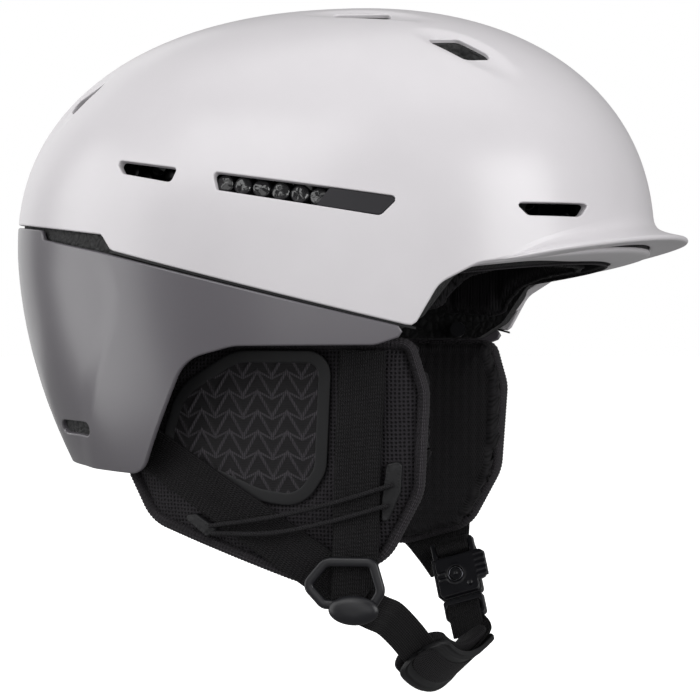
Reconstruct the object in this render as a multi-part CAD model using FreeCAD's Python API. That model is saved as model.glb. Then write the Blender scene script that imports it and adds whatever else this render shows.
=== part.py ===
import FreeCAD, Part
import math
import os

from FreeCAD import Vector

# Ski helmet in millimetres. +X is the wearer's front, +Y the wearer's left, +Z up.
# The origin is the middle of the head opening at brim level.

# ---------------------------------------------------------------- outer form
# Four superellipse quarters in side view, closed sideways by a fifth.
FORM_CENTRE_X = 7.5
FRONT_REACH = 132.0
REAR_REACH = 146.5
CROWN_HEIGHT = 102.8
LOWER_DEPTH = 194.0
HALF_WIDTH = 111.0
FRONT_TOP_POWER = 2.28
REAR_TOP_POWER = 2.22
REAR_LOW_POWER = 1.75
FRONT_LOW_POWER = 2.0
SIDE_POWER = 2.15
# The reach, height and half width that the outlines below are drawn for.
DRAWN_FRONT_REACH = 132.0
DRAWN_REAR_REACH = 146.5
DRAWN_CROWN_HEIGHT = 102.8
DRAWN_HALF_WIDTH = 111.0
# Outlines nearer to the mid-plane than this keep their place when the half width changes.
MIDDLE_ZONE = 40.0

# ---------------------------------------------------------------- layers
SHELL_WALL = 2.2
LAYER_GAP = 0.4
FOAM_WALL = 14.4
CELL_WALL = 10.3
PAD_WALL = 7.0
GASKET_RECESS = 0.8
GASKET_WALL = 1.2
BADGE_RECESS = 0.5
BADGE_WALL = 1.5
BADGE_GAP = 0.3
CHANNEL_MARGIN = 1.5
SIDE_VENT_INNER_Y = 40.0
REAR_SLOT_INNER_Y = 20.0

# ---------------------------------------------------------------- brim
BRIM_DEPTH = 13.5
BRIM_WALL = 2.6
BRIM_SWEEP_DEG = 56.0
BRIM_TIP_Z = 2.2
BRIM_DROP = 12.0
BRIM_ROOT_RISE = 6.5

# ---------------------------------------------------------------- ear pads
EAR_PAD_INSIDE = 39.0     # from the half width in to the pad's inner face
EAR_PAD_CORE = 12.0
EAR_PAD_COVER = 6.0
EAR_PAD_TILT_DEG = 3.0
EAR_PAD_CURVE = 260.0     # plan radius of the pad, about an upright axis inside the head
EAR_PAD_CURVE_X = 25.0
EAR_PAD_TOP_Z = -39.5
BINDING_WIDTH = 3.2
BINDING_WALL = 7.0
PANEL_WALL = 0.8
FRAME_WALL = 1.0
FRAME_WIDTH = 4.5
SOFT_GAP = 0.2
POCKET_MARGIN = 1.5

# ---------------------------------------------------------------- webbing and cords
STRAP_WIDTH = 18.5
STRAP_WALL = 1.3
FRONT_STRAP_END_Z = -136.5
CHIN_WEB_WIDTH = 15.5
CORD_DIAMETER = 1.9

# ---------------------------------------------------------------- chin strap and buckle
DIVIDER_WALL = 3.0
DIVIDER_BAR = 3.2
DIVIDER_CAP_LENGTH = 21.0
DIVIDER_CAP_WIDTH = 12.5
DIVIDER_CAP_WALL = 3.4
CHIN_PAD_WIDTH = 25.0
CHIN_PAD_WALL = 5.0
CHIN_PAD_SAG = 11.0
CHIN_TRAY_WALL = 1.4
CHIN_WEB_LEAD = 3.0
CHIN_PAD_STEPS = 6
# Across the buckle: the webbing's slot, then a rail each side, then the body's step out from the rails.
LADDER_CLEARANCE = 0.15
LADDER_RAIL = 1.6
LADDER_INSET = 0.5
LADDER_BAR = 2.4
BUCKLE_EAR = 2.4
# Down the buckle, measured from its bar.
EAR_RISE = 3.2
EAR_OPENING = 4.2
BASE_END = 24.0
LADDER_START = 24.4
LADDER_END = 34.0
LATCH_START = 5.5
GRIP_START = 5.0
GRIP_END = 19.0
MAGNET_DROP = 14.0
BUCKLE_WALL = 4.0
BASE_FILLET = 1.2
BUCKLE_BAR_RADIUS = 1.6
LATCH_GAP = 0.4
LATCH_WALL = 3.4
LATCH_INSET = 0.5
GRIP_REACH = 4.5
MAGNET_RADIUS = 3.6
MAGNET_WALL = 1.2
MAGNET_GAP = 0.05

# ---------------------------------------------------------------- fit cradle
CRADLE_WALL = 1.8
CRADLE_PAD_WALL = 4.0
ARM_TOP_Z = -8.0
ARM_LOW_Z = -20.0
RAIL_HEIGHT = 3.0
RAIL_GAP = 0.5
HOUSING_RADIUS = 19.0
HOUSING_WALL = 9.0
DIAL_RADIUS = 17.0
DIAL_WALL = 11.0
DIAL_GAP = 0.4
DIAL_Z = -66.0
DIAL_GRIPS = 14
DIAL_GRIP_RADIUS = 1.5
SPINDLE_RADIUS = 3.0
SPINDLE_CLEARANCE = 0.06
SPINDLE_PRESS_GAP = 0.02
SPINDLE_ROOT = 2.0
HOUSING_ROOT = 16.0       # how far forward the housing's cylinder starts, before the band is cut from it
GRIP_ROOT = 2.0           # plain length of the knob before its grips begin
KNOB_FACE = 3.0
RECESS_MARGIN = 8.0

# ---------------------------------------------------------------- strap anchors
ANCHOR_RADIUS = 3.6
ANCHOR_WALL = 2.0
ANCHOR_SINK = 4.2         # from the foam's inner face in to the plug's head
ANCHOR_PIN = 9.0
ANCHOR_PIN_RADIUS = 1.8

# Far enough out to pass right through the helmet.
BEYOND = 300.0

# ---------------------------------------------------------------- depths below the outer surface
FOAM_OUT = SHELL_WALL + LAYER_GAP
FOAM_IN = FOAM_OUT + FOAM_WALL
CELL_OUT = FOAM_IN + LAYER_GAP
CELL_IN = CELL_OUT + CELL_WALL
PAD_OUT = CELL_IN + LAYER_GAP
PAD_IN = PAD_OUT + PAD_WALL
CRADLE_OUT = PAD_IN + LAYER_GAP
CRADLE_IN = CRADLE_OUT + CRADLE_WALL

# Overall width of the buckle, from the webbing that runs through its ladder.
LADDER_SLOT = CHIN_WEB_WIDTH + 2 * LADDER_CLEARANCE
BUCKLE_WIDTH = LADDER_SLOT + 2 * (LADDER_RAIL + LADDER_INSET)

# Ear pad layers, as distances from the mid-plane at the pad's top edge.
CORE_IN_Y = HALF_WIDTH - EAR_PAD_INSIDE
CORE_OUT_Y = CORE_IN_Y + EAR_PAD_CORE
COVER_IN_Y = CORE_OUT_Y + SOFT_GAP
COVER_OUT_Y = COVER_IN_Y + EAR_PAD_COVER
FACE_Y = COVER_OUT_Y + SOFT_GAP
REAR_STRAP_Y = FACE_Y + FRAME_WALL + SOFT_GAP + STRAP_WALL / 2
FRONT_STRAP_Y = REAR_STRAP_Y + STRAP_WALL + SOFT_GAP
CORD_Y = FRONT_STRAP_Y + STRAP_WALL / 2 + SOFT_GAP + CORD_DIAMETER / 2

RIGHT = -1
LEFT = 1
SIDE_NAMES = {RIGHT: "right", LEFT: "left"}


def side_point(x, z):
    """A place drawn in side view, moved with the reach and height of the form."""
    reach = FRONT_REACH / DRAWN_FRONT_REACH if x > FORM_CENTRE_X else REAR_REACH / DRAWN_REAR_REACH
    height = CROWN_HEIGHT / DRAWN_CROWN_HEIGHT if z > 0 else 1.0
    return FORM_CENTRE_X + (x - FORM_CENTRE_X) * reach, z * height


def side_width(y):
    """A distance from the mid-plane drawn for the stated half width, moved with it."""
    return y + math.copysign(HALF_WIDTH - DRAWN_HALF_WIDTH, y) if abs(y) > MIDDLE_ZONE else y


# ---------------------------------------------------------------- the form
def form_radius(turn, depth):
    """Distance from the centre line to the form at a turn in side view, at a depth below its surface."""
    c = math.cos(turn)
    s = math.sin(turn)
    reach = (FRONT_REACH if c > 0 else REAR_REACH) - depth
    height = (CROWN_HEIGHT if s > 0 else LOWER_DEPTH) - depth
    if s > 0:
        power = FRONT_TOP_POWER if c > 0 else REAR_TOP_POWER
    else:
        power = FRONT_LOW_POWER if c > 0 else REAR_LOW_POWER
    return (abs(c / reach) ** power + abs(s / height) ** power) ** (-1.0 / power)


def form(depth):
    """The closed form at a depth below the outer surface, lofted from side to side."""
    width = HALF_WIDTH - depth
    steps = 17
    around = 36
    last = math.radians(88)
    wires = []
    for k in range(steps):
        lean = -last + 2 * last * k / (steps - 1)
        y = math.copysign(width * abs(math.sin(lean)) ** (2 / SIDE_POWER), lean)
        scale = math.cos(lean) ** (2 / SIDE_POWER)
        points = []
        for j in range(around):
            turn = 2 * math.pi * j / around
            r = scale * form_radius(turn, depth)
            points.append(Vector(FORM_CENTRE_X + r * math.cos(turn), y, r * math.sin(turn)))
        curve = Part.BSplineCurve()
        curve.interpolate(points, PeriodicFlag=True)
        wires.append(Part.Wire([curve.toShape()]))
    return Part.makeLoft(wires, True, False)


def layer(outer_depth, inner_depth):
    """The hollow layer of the form between two depths."""
    return form(outer_depth).cut(form(inner_depth))


def form_x(z, depth, direction):
    """Where the form's mid-line lies at a height: direction is 1 for the front and -1 for the back."""
    reach = (FRONT_REACH if direction > 0 else REAR_REACH) - depth
    height = (CROWN_HEIGHT if z > 0 else LOWER_DEPTH) - depth
    if z > 0:
        power = FRONT_TOP_POWER if direction > 0 else REAR_TOP_POWER
    else:
        power = FRONT_LOW_POWER if direction > 0 else REAR_LOW_POWER
    return FORM_CENTRE_X + direction * reach * (1 - abs(z / height) ** power) ** (1 / power)


def form_y(x, z, depth):
    """Half width of the form at a place in side view, at a depth below its surface."""
    turn = math.atan2(z, x - FORM_CENTRE_X)
    share = math.hypot(x - FORM_CENTRE_X, z) / form_radius(turn, depth)
    return (HALF_WIDTH - depth) * (1 - share ** SIDE_POWER) ** (1 / SIDE_POWER)


# ---------------------------------------------------------------- outlines
def rounded_wire(corners):
    """Closed wire through corners of (point, radius), with an arc at each corner."""
    count = len(corners)
    edges = []
    starts = []
    ends = []
    for k in range(count):
        point, radius = corners[k]
        before = corners[k - 1][0] - point
        after = corners[(k + 1) % count][0] - point
        half = before.getAngle(after) / 2
        back = min(radius / math.tan(half), 0.48 * before.Length, 0.48 * after.Length)
        if back < 0.01:
            starts.append(point)
            ends.append(point)
            continue
        first = point + before.normalize() * back
        last = point + after.normalize() * back
        towards = (before + after).normalize()
        fitted = back * math.tan(half)
        middle = point + towards * (fitted / math.sin(half) - fitted)
        edges.append((k, Part.Arc(first, middle, last).toShape()))
        starts.append(first)
        ends.append(last)
    path = []
    arcs = dict(edges)
    for k in range(count):
        if k in arcs:
            path.append(arcs[k])
        following = starts[(k + 1) % count]
        if (following - ends[k]).Length > 1e-6:
            path.append(Part.LineSegment(ends[k], following).toShape())
    return Part.Wire(path)


def side_face(outline, y=0.0):
    """Flat face in side view, from (x, z) or (x, z, radius) points."""
    corners = []
    for item in outline:
        x, z = side_point(item[0], item[1])
        corners.append((Vector(x, y, z), item[2] if len(item) > 2 else 0.0))
    return Part.Face(rounded_wire(corners))


def side_prism(outline, y_from, y_to, grow=0.0):
    """Side-view outline, grown if asked, extruded between two distances from the mid-plane."""
    face = side_face(outline, y_from)
    if grow:
        face = Part.Face(face.OuterWire.makeOffset2D(grow))
    return face.extrude(Vector(0, y_to - y_from, 0))


def plan_prism(outline, z_from, z_to):
    """Plan-view outline of (x, y, radius) points extruded upwards."""
    corners = []
    for x, y, radius in outline:
        corners.append((Vector(side_point(x, 0)[0], side_width(y), z_from), radius))
    return Part.Face(rounded_wire(corners)).extrude(Vector(0, 0, z_to - z_from))


def mirrored(shape):
    """The same shape on the other side of the mid-plane."""
    return shape.mirror(Vector(0, 0, 0), Vector(0, 1, 0))


def on_side(shape, side):
    """A shape drawn on the right, moved to the side asked for."""
    return shape if side == RIGHT else mirrored(shape)


def box(low, high):
    """Box between two corners."""
    return Part.makeBox(high[0] - low[0], high[1] - low[1], high[2] - low[2], Vector(*low))


def group(shapes):
    """Separate solids kept as one node."""
    return Part.makeCompound(shapes)


def frames(stations):
    """Each (centre, across) station as (centre, across, out), with both directions square to the band's run."""
    framed = []
    for k, (centre, across) in enumerate(stations):
        before = stations[max(k - 1, 0)][0]
        after = stations[min(k + 1, len(stations) - 1)][0]
        along = (after - before).normalize()
        flat = (across - along * across.dot(along)).normalize()
        framed.append((centre, flat, along.cross(flat)))
    return framed


def ribbon(framed, width, wall, offset=0.0):
    """Flat band through framed stations, with its middle moved out from them if asked."""
    wires = []
    for centre, flat, out in framed:
        middle = centre + out * offset
        a = flat * (width / 2)
        b = out * (wall / 2)
        corners = [middle - a - b, middle + a - b, middle + a + b, middle - a + b]
        wires.append(Part.makePolygon(corners + corners[:1]))
    return Part.makeLoft(wires, True, True)


def rod(points, radius):
    """Round cord along straight runs joined by tangent arcs."""
    edges = []
    start = points[0]
    for k in range(1, len(points) - 1):
        before = points[k - 1] - points[k]
        after = points[k + 1] - points[k]
        back = 0.45 * min(before.Length, after.Length)
        first = points[k] + before.normalize() * back
        last = points[k] + after.normalize() * back
        half = before.getAngle(after) / 2
        fitted = back * math.tan(half)
        middle = points[k] + (before + after).normalize() * (fitted / math.sin(half) - fitted)
        edges.append(Part.LineSegment(start, first).toShape())
        edges.append(Part.Arc(first, middle, last).toShape())
        start = last
    edges.append(Part.LineSegment(start, points[-1]).toShape())
    profile = Part.Wire([Part.makeCircle(radius, points[0], points[1] - points[0])])
    return Part.Wire(edges).makePipeShell([profile], True, False)


# ---------------------------------------------------------------- side-view outlines
UPPER_SHELL_SIDE = [
    (-190, 130),
    (-190, 18.2),
    (-69, 2.0),
    (-64.5, -4.4, 2),
    (60.5, -35.2, 3),
    (70, -18.5, 12),
    (84, -10.6, 12),
    (150, -2.0),
    (190, -2.0),
    (190, 130),
]
LOWER_SHELL_SIDE = [
    (-190, 17.0),
    (-104, 5.6, 1),
    (-102.5, 1.6, 1),
    (-66.5, -5.6, 3),
    (62.5, -36.6, 3),
    (46, -42.3, 10),
    (-10, -42.6, 25),
    (-31.5, -48, 18),
    (-56.5, -94.6, 10),
    (-118, -92.6, 9),
    (-126, -60),
    (-190, -60),
]
GASKET_SIDE = [
    (-64.5, -4.4, 1),
    (60.5, -35.2),
    (60.5, -36.1),
    (-64.5, -5.2),
]
FOAM_SIDE = [
    (-190, 120),
    (-190, -60),
    (-119, -88, 9),
    (-58, -90, 8),
    (-34, -44, 16),
    (-10, -38.5, 25),
    (48, -38.2, 6),
    (60, -31, 6),
    (72, -14.5, 12),
    (86, -7.5, 12),
    (150, 0.0),
    (190, 0.0),
    (190, 120),
]
CELL_SIDE = [
    (-190, 120),
    (-190, -30, 6),
    (60, -30, 12),
    (80, -6.5, 12),
    (190, 2.0),
    (190, 120),
]
SIDE_WINDOW = [(-18.5, 25.2, 1.5), (55.5, 14.2, 1.5), (48.5, 7.0, 2.5), (-16.5, 18.0, 1.5)]
BADGE_SIDE = [(29, 18.2, 0.5), (55.5, 14.2, 1.5), (48.5, 7.0, 2.5), (23.5, 11.0, 0.5)]
REAR_SIDE_SLOT = [(-63.5, 32.0, 1.5), (-34.0, 27.2, 1.0), (-36.5, 21.6, 2.0), (-59.5, 26.2, 2.5)]
FRONT_SIDE_SLOT = [(96.5, 12.6, 1.0), (121.0, 13.4, 1.0), (118.5, 8.0, 2.0), (101.0, 7.8, 2.0)]
LOWER_REAR_SLOT = [(-105, -73.5, 2.6), (-83.5, -74.0, 2.6), (-83.0, -80.0, 2.6), (-104, -79.5, 2.6)]
TOP_FRONT_VENT = [(55, -65, 2), (68, -56, 3), (84, -58, 2), (73, -68, 3)]
TOP_MIDDLE_VENT = [(12, -44, 2), (36, -41, 2), (39, -49, 3), (17, -53, 3)]
TOP_REAR_VENT = [(-104, -47, 3), (-86, -53, 2), (-84, -61, 2), (-98, -58, 3)]
ANCHORS_SIDE = [(38, -34.2), (-78, -62)]
TOP_VENTS = [TOP_FRONT_VENT, TOP_MIDDLE_VENT, TOP_REAR_VENT]
TOP_VENT_FLOORS = [36.0, 52.0, 20.0]
SIDE_OPENINGS = [SIDE_WINDOW, REAR_SIDE_SLOT, FRONT_SIDE_SLOT]

EAR_PAD_SIDE = [
    (-52, EAR_PAD_TOP_Z, 14),
    (56, EAR_PAD_TOP_Z, 7),
    (62, -60, 20),
    (59.5, -100, 22),
    (45, -127, 18),
    (12, -136.5, 20),
    (-56, -114.5, 18),
    (-68, -93, 12),
    (-60, -60, 20),
]
PANEL_SIDE = [
    (-15, -48.5, 20),
    (20, -48.5, 5),
    (17.5, -90, 10),
    (10, -101, 10),
    (-6, -99, 20),
    (-46, -83.5, 7),
    (-38, -62, 20),
]


CRADLE_SIDE = [
    (-22, ARM_TOP_Z, 4),
    (-22, ARM_LOW_Z, 4),
    (-66, ARM_LOW_Z, 10),
    (-76, -84, 12),
    (-190, -84),
    (-190, -48),
    (-88, -46, 14),
    (-74, ARM_TOP_Z, 12),
]
CRADLE_PAD_SIDE = [(-78, -52, 5), (-80, -80, 5), (-190, -80), (-190, -52)]


def pad_curve_radius(y):
    """Plan radius of the ear pad layer that lies at a distance from the mid-plane at its middle."""
    return EAR_PAD_CURVE + y - COVER_OUT_Y


def pad_solid(outline, y_in, y_out, grow=0.0):
    """Slab of the right ear pad between two distances from the mid-plane, curved round the head, leaning in."""
    centre = Vector(side_point(EAR_PAD_CURVE_X, 0)[0], EAR_PAD_CURVE - COVER_OUT_Y, -BEYOND)
    block = side_prism(outline, 0, -BEYOND, grow)
    slab = block.common(Part.makeCylinder(pad_curve_radius(y_out), 2 * BEYOND, centre))
    slab = slab.cut(Part.makeCylinder(pad_curve_radius(y_in), 2 * BEYOND, centre))
    return lean_in(slab)


def lean_in(shape):
    """Turn a right-hand piece about the pad's top edge, so that its foot leans towards the jaw."""
    hinge = Vector(0, -CORE_OUT_Y, EAR_PAD_TOP_Z)
    turned = shape.copy()
    turned.rotate(hinge, Vector(1, 0, 0), EAR_PAD_TILT_DEG)
    return turned


def pad_point(x, z, y):
    """A point over the right ear pad, curved and leaning with it."""
    px, pz = side_point(x, z)
    angle = math.radians(EAR_PAD_TILT_DEG)
    aside = px - side_point(EAR_PAD_CURVE_X, 0)[0]
    curved = math.sqrt(pad_curve_radius(y) ** 2 - aside ** 2) - EAR_PAD_CURVE + COVER_OUT_Y
    dy = CORE_OUT_Y - curved
    dz = pz - EAR_PAD_TOP_Z
    py = -CORE_OUT_Y + dy * math.cos(angle) - dz * math.sin(angle)
    return Vector(px, py, EAR_PAD_TOP_Z + dy * math.sin(angle) + dz * math.cos(angle))


# ---------------------------------------------------------------- strap landmarks
# The right divider, and the bar of the buckle that the left straps hang from.
DIVIDER = pad_point(29, FRONT_STRAP_END_Z, FRONT_STRAP_Y)
DIVIDER = DIVIDER - Vector(0, (STRAP_WALL + DIVIDER_WALL) / 2 + 4 * SOFT_GAP, 0)
CHIN_RIGHT = Vector(side_point(41, 0)[0], side_width(-80), -146.5)
CHIN_LEFT = Vector(side_point(44, 0)[0], side_width(47), -134.0)
SWING_AXIS = (CHIN_LEFT - CHIN_RIGHT).normalize()
CHIN_PAD_RIGHT = Vector(46, -34, -168.0)
CHIN_PAD_LEFT = Vector(60, 26, -171.0)
CHIN_ACROSS = Vector(0.72, 0, 0.69)
BUCKLE_DOWN = Vector(10, -13.5, -32.5).normalize()
BUCKLE_ACROSS = Vector(0.965, 0.0, 0.26)


# ---------------------------------------------------------------- shells
def brim_solid():
    """Short brim: blade sections stood round the front of the form and lofted together."""
    sections = 15
    sweep = math.radians(BRIM_SWEEP_DEG)
    wires = []
    for k in range(sections):
        lean = -sweep + 2 * sweep * k / (sections - 1)
        share = lean / sweep
        root = Vector(
            FORM_CENTRE_X + FRONT_REACH * math.cos(lean) ** (2 / SIDE_POWER),
            math.copysign(HALF_WIDTH * abs(math.sin(lean)) ** (2 / SIDE_POWER), lean),
            0,
        )
        out = Vector(
            root.x / FRONT_REACH ** 2,
            root.y / HALF_WIDTH ** 2,
            0,
        ).normalize()
        fade = max(math.cos(share * math.pi / 2), 0.0)
        depth = 0.8 + BRIM_DEPTH * fade ** 1.3
        tip_z = BRIM_TIP_Z - BRIM_DROP * abs(share) ** 1.6
        rise = 1.5 + BRIM_ROOT_RISE * fade
        inside = root - out * (SHELL_WALL * 0.7)
        tip = root + out * depth
        outline = [
            inside + Vector(0, 0, tip_z - BRIM_WALL - 0.8),
            tip + Vector(0, 0, tip_z - BRIM_WALL * 0.5) - out * 1.0,
            tip + Vector(0, 0, tip_z),
            tip + Vector(0, 0, tip_z + BRIM_WALL * 0.5) - out * 1.2,
            root + out * (depth * 0.35) + Vector(0, 0, tip_z + BRIM_WALL * 0.5 + rise * 0.3),
            inside + Vector(0, 0, tip_z + BRIM_WALL * 0.5 + rise),
        ]
        wires.append(Part.makePolygon(outline + outline[:1]))
    return Part.makeLoft(wires, True, False)


def cut_vents(shape, outlines, y_inner, grow=0.0):
    """Cut side openings through both sides of a layer, from outside in to a distance from the mid-plane."""
    tools = []
    for outline in outlines:
        tool = side_prism(outline, -y_inner, -BEYOND, grow)
        tools.append(tool)
        tools.append(mirrored(tool))
    return shape.cut(tools)


def cut_top_vents(shape):
    """Cut the three pairs of top vents straight down through a layer."""
    tools = []
    for outline, floor in zip(TOP_VENTS, TOP_VENT_FLOORS):
        tool = plan_prism(outline, floor, BEYOND)
        tools.append(tool)
        tools.append(mirrored(tool))
    return shape.cut(tools)


def upper_shell():
    """White upper shell with its brim, vents and side windows."""
    wall = layer(0.0, SHELL_WALL).common(side_prism(UPPER_SHELL_SIDE, -BEYOND, BEYOND))
    inside = form(SHELL_WALL)
    shell = wall.fuse(brim_solid().cut(inside))
    shell = cut_vents(shell, SIDE_OPENINGS, SIDE_VENT_INNER_Y)
    return cut_top_vents(shell)


def lower_shell():
    """Grey lower shell, with a raised tongue at the back and a slot low on each side."""
    wall = layer(0.0, SHELL_WALL).common(side_prism(LOWER_SHELL_SIDE, -BEYOND, BEYOND))
    return cut_vents(wall, [LOWER_REAR_SLOT], REAR_SLOT_INNER_Y)


def seam_gasket():
    """Thin dark strip sunk into the gap between the shells, one length each side."""
    strip = layer(GASKET_RECESS, GASKET_RECESS + GASKET_WALL)
    return strip.common(side_prism(GASKET_SIDE, -BEYOND, BEYOND))


def side_badge(side):
    """Plain plate that fills the front end of a side window."""
    plate = layer(BADGE_RECESS, BADGE_RECESS + BADGE_WALL)
    return on_side(plate.common(side_prism(BADGE_SIDE, 0, -BEYOND, -BADGE_GAP)), side)


# ---------------------------------------------------------------- liner
def dial_recess():
    """Space kept clear in the liner for the dial and the fingers that turn it."""
    half = HOUSING_RADIUS + RECESS_MARGIN
    return box((-BEYOND, -half, -BEYOND), (-40, half, DIAL_Z + half))


def ear_pockets():
    """Space kept clear in the liner for the two ear pads."""
    pocket = pad_solid(EAR_PAD_SIDE, 0.0, CORD_Y + CORD_DIAMETER, POCKET_MARGIN)
    return [pocket, mirrored(pocket)]


def foam_liner():
    """Foam liner under the shells, cut for the vents, the ear pads and the dial."""
    foam = layer(FOAM_OUT, FOAM_IN).common(side_prism(FOAM_SIDE, -BEYOND, BEYOND))
    foam = cut_vents(foam, SIDE_OPENINGS, SIDE_VENT_INNER_Y, CHANNEL_MARGIN)
    foam = cut_top_vents(foam)
    return foam.cut(ear_pockets() + [dial_recess()] + anchor_plugs(ANCHOR_PIN_RADIUS + LAYER_GAP))


def cell_liner():
    """Insert of crushable cells inside the foam liner, as its outer shape."""
    cells = layer(CELL_OUT, CELL_IN).common(side_prism(CELL_SIDE, -BEYOND, BEYOND))
    return cells.cut([dial_recess()])


def window_cells(side):
    """Cells that reach out through the foam to a side window."""
    block = layer(FOAM_OUT, FOAM_IN)
    return on_side(block.common(side_prism(SIDE_WINDOW, 0, -BEYOND, CHANNEL_MARGIN - LAYER_GAP)), side)


def crown_pad():
    """Comfort pad under the crown."""
    outline = [(-62, -22, 14), (-30, -44, 16), (45, -40, 16), (66, -18, 12), (66, 18, 12),
               (45, 40, 16), (-30, 44, 16), (-62, 22, 14)]
    return layer(PAD_OUT, PAD_IN).common(plan_prism(outline, 20, BEYOND))


def brow_pad():
    """Comfort pad across the brow, from temple to temple."""
    outline = [(34, 20, 4), (34, -24, 4), (64, -24, 8), (78, -10, 10), (190, -4), (190, 24), (110, 20)]
    return layer(PAD_OUT, PAD_IN).common(side_prism(outline, -BEYOND, BEYOND))


# ---------------------------------------------------------------- ear pads
def ear_pad_inner(side):
    """Thick inner cushion of an ear pad."""
    return on_side(pad_solid(EAR_PAD_SIDE, CORE_IN_Y, CORE_OUT_Y, -1.5), side)


def ear_pad_cover(side):
    """Outer mesh cover of an ear pad, inside its binding."""
    return on_side(pad_solid(EAR_PAD_SIDE, COVER_IN_Y, COVER_OUT_Y, -BINDING_WIDTH - SOFT_GAP), side)


def ear_pad_binding(side):
    """Ribbed binding round the edge of an ear pad."""
    outer = pad_solid(EAR_PAD_SIDE, COVER_IN_Y, COVER_IN_Y + BINDING_WALL)
    inner = pad_solid(EAR_PAD_SIDE, COVER_IN_Y - 1, COVER_IN_Y + BINDING_WALL + 1, -BINDING_WIDTH)
    return on_side(outer.cut(inner), side)


def ear_window_frame(side):
    """Rubber frame round the chevron panel."""
    outer = pad_solid(PANEL_SIDE, FACE_Y, FACE_Y + FRAME_WALL, FRAME_WIDTH)
    inner = pad_solid(PANEL_SIDE, FACE_Y - 1, FACE_Y + FRAME_WALL + 1)
    return on_side(outer.cut(inner), side)


def ear_window_panel(side):
    """Chevron panel over the ear."""
    return on_side(pad_solid(PANEL_SIDE, FACE_Y, FACE_Y + PANEL_WALL, -SOFT_GAP), side)


def cord_tabs(side):
    """Rubber tabs at the front and back of an ear pad that hold the ends of the cords."""
    front = [(47, -88, 1.5), (53, -86.5, 2), (52, -99, 4), (47, -110, 2), (44.6, -110, 1), (44.8, -102, 2)]
    rear = [(-40, -110.8, 1.5), (-34, -109.8, 1.5), (-24, -115.6, 1.5), (-29, -118.6, 1.5)]
    tabs = [pad_solid(outline, FACE_Y, CORD_Y - CORD_DIAMETER / 2 - SOFT_GAP) for outline in (front, rear)]
    return on_side(group(tabs), side)


def elastic_cords(side):
    """Two elastic cords that hold the straps against an ear pad."""
    upper = [(50, -95.5), (26, -103), (2, -109), (-27, -114)]
    lower = [(48, -103.5), (24, -110.5), (0, -115.6), (-26, -116.8)]
    cords = []
    for route in (upper, lower):
        cords.append(rod([pad_point(x, z, CORD_Y + SOFT_GAP) for x, z in route], CORD_DIAMETER / 2))
    return on_side(group(cords), side)


# ---------------------------------------------------------------- straps
def pad_stations(route, y, across_x, across_z):
    """Stations of a strap that lies on the right ear pad, from its (x, z) points and its direction across."""
    stations = []
    for k, (x, z) in enumerate(route):
        centre = pad_point(x, z, y)
        stations.append((centre, pad_point(x + across_x, z + across_z, y) - centre))
        if k + 1 < len(route):
            far_x, far_z = route[k + 1]
            middle = pad_point((x + far_x) / 2, (z + far_z) / 2, y)
            beside = pad_point((x + far_x) / 2 + across_x, (z + far_z) / 2 + across_z, y)
            stations.append((middle, beside - middle))
    return stations


def to_left(stations):
    """Stations drawn on the right pad, on the left one."""
    flipped = []
    for centre, across in stations:
        flipped.append((Vector(centre.x, -centre.y, centre.z), Vector(across.x, -across.y, across.z)))
    return flipped


def front_strap(side):
    """Strap from the front anchor, over the ear pad and down to the divider or the buckle."""
    route = [(38, -43.5), (37, -64), (35.3, -90), (34.3, -118), (34, -128), (33.5, FRONT_STRAP_END_Z)]
    stations = pad_stations(route, FRONT_STRAP_Y, 1.0, -0.03)
    if side == RIGHT:
        return ribbon(frames(stations), STRAP_WIDTH, STRAP_WALL)
    stations = to_left(stations)
    stations.append((CHIN_LEFT + Vector(-4, 26, -6.5), Vector(1, 0, 0)))
    stations.append((CHIN_LEFT + Vector(0, 7.5, 1.6), Vector(1, 0, 0.2)))
    return ribbon(frames(stations), STRAP_WIDTH, STRAP_WALL)


def rear_strap(side):
    """Strap from the rear anchor, along the foot of the ear pad to the divider or the buckle."""
    route = [(-62, -81), (-50, -87.5), (-37, -95), (-8, -112.7), (17.5, -129)]
    stations = pad_stations(route, REAR_STRAP_Y, 0.53, 0.85)
    if side == RIGHT:
        stations.append((pad_point(24, -133.2, REAR_STRAP_Y), stations[-1][1]))
        return ribbon(frames(stations), STRAP_WIDTH, STRAP_WALL)
    stations.append((pad_point(26, -138.5, REAR_STRAP_Y), Vector(0.75, 0, 0.66)))
    stations.append((pad_point(32, -146.0, REAR_STRAP_Y), Vector(0.9, 0, 0.4)))
    stations = to_left(stations)
    stations.append((CHIN_LEFT + Vector(-6, 26, -10.5), Vector(1, 0, 0.1)))
    stations.append((CHIN_LEFT + Vector(-1, 7.5, -0.4), Vector(1, 0, 0.2)))
    return ribbon(frames(stations), STRAP_WIDTH, STRAP_WALL)


def strap_anchors():
    """Four headed plugs in the liner that hold the upper ends of the straps."""
    return group(anchor_plugs(ANCHOR_PIN_RADIUS))


def anchor_plugs(pin_radius):
    """The headed plugs, with pins of a given radius."""
    plugs = []
    outward = Vector(0, -1, 0)
    for x, z in ANCHORS_SIDE:
        px, pz = side_point(x, z)
        wall = form_y(px, pz - ANCHOR_RADIUS, FOAM_IN)
        head = Part.makeCylinder(ANCHOR_RADIUS, ANCHOR_WALL, Vector(px, -(wall - ANCHOR_SINK), pz), outward)
        pin = Part.makeCylinder(pin_radius, ANCHOR_PIN, Vector(px, -(wall - ANCHOR_SINK), pz), outward)
        plug = head.fuse(pin)
        plugs.append(plug)
        plugs.append(mirrored(plug))
    return plugs


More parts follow.
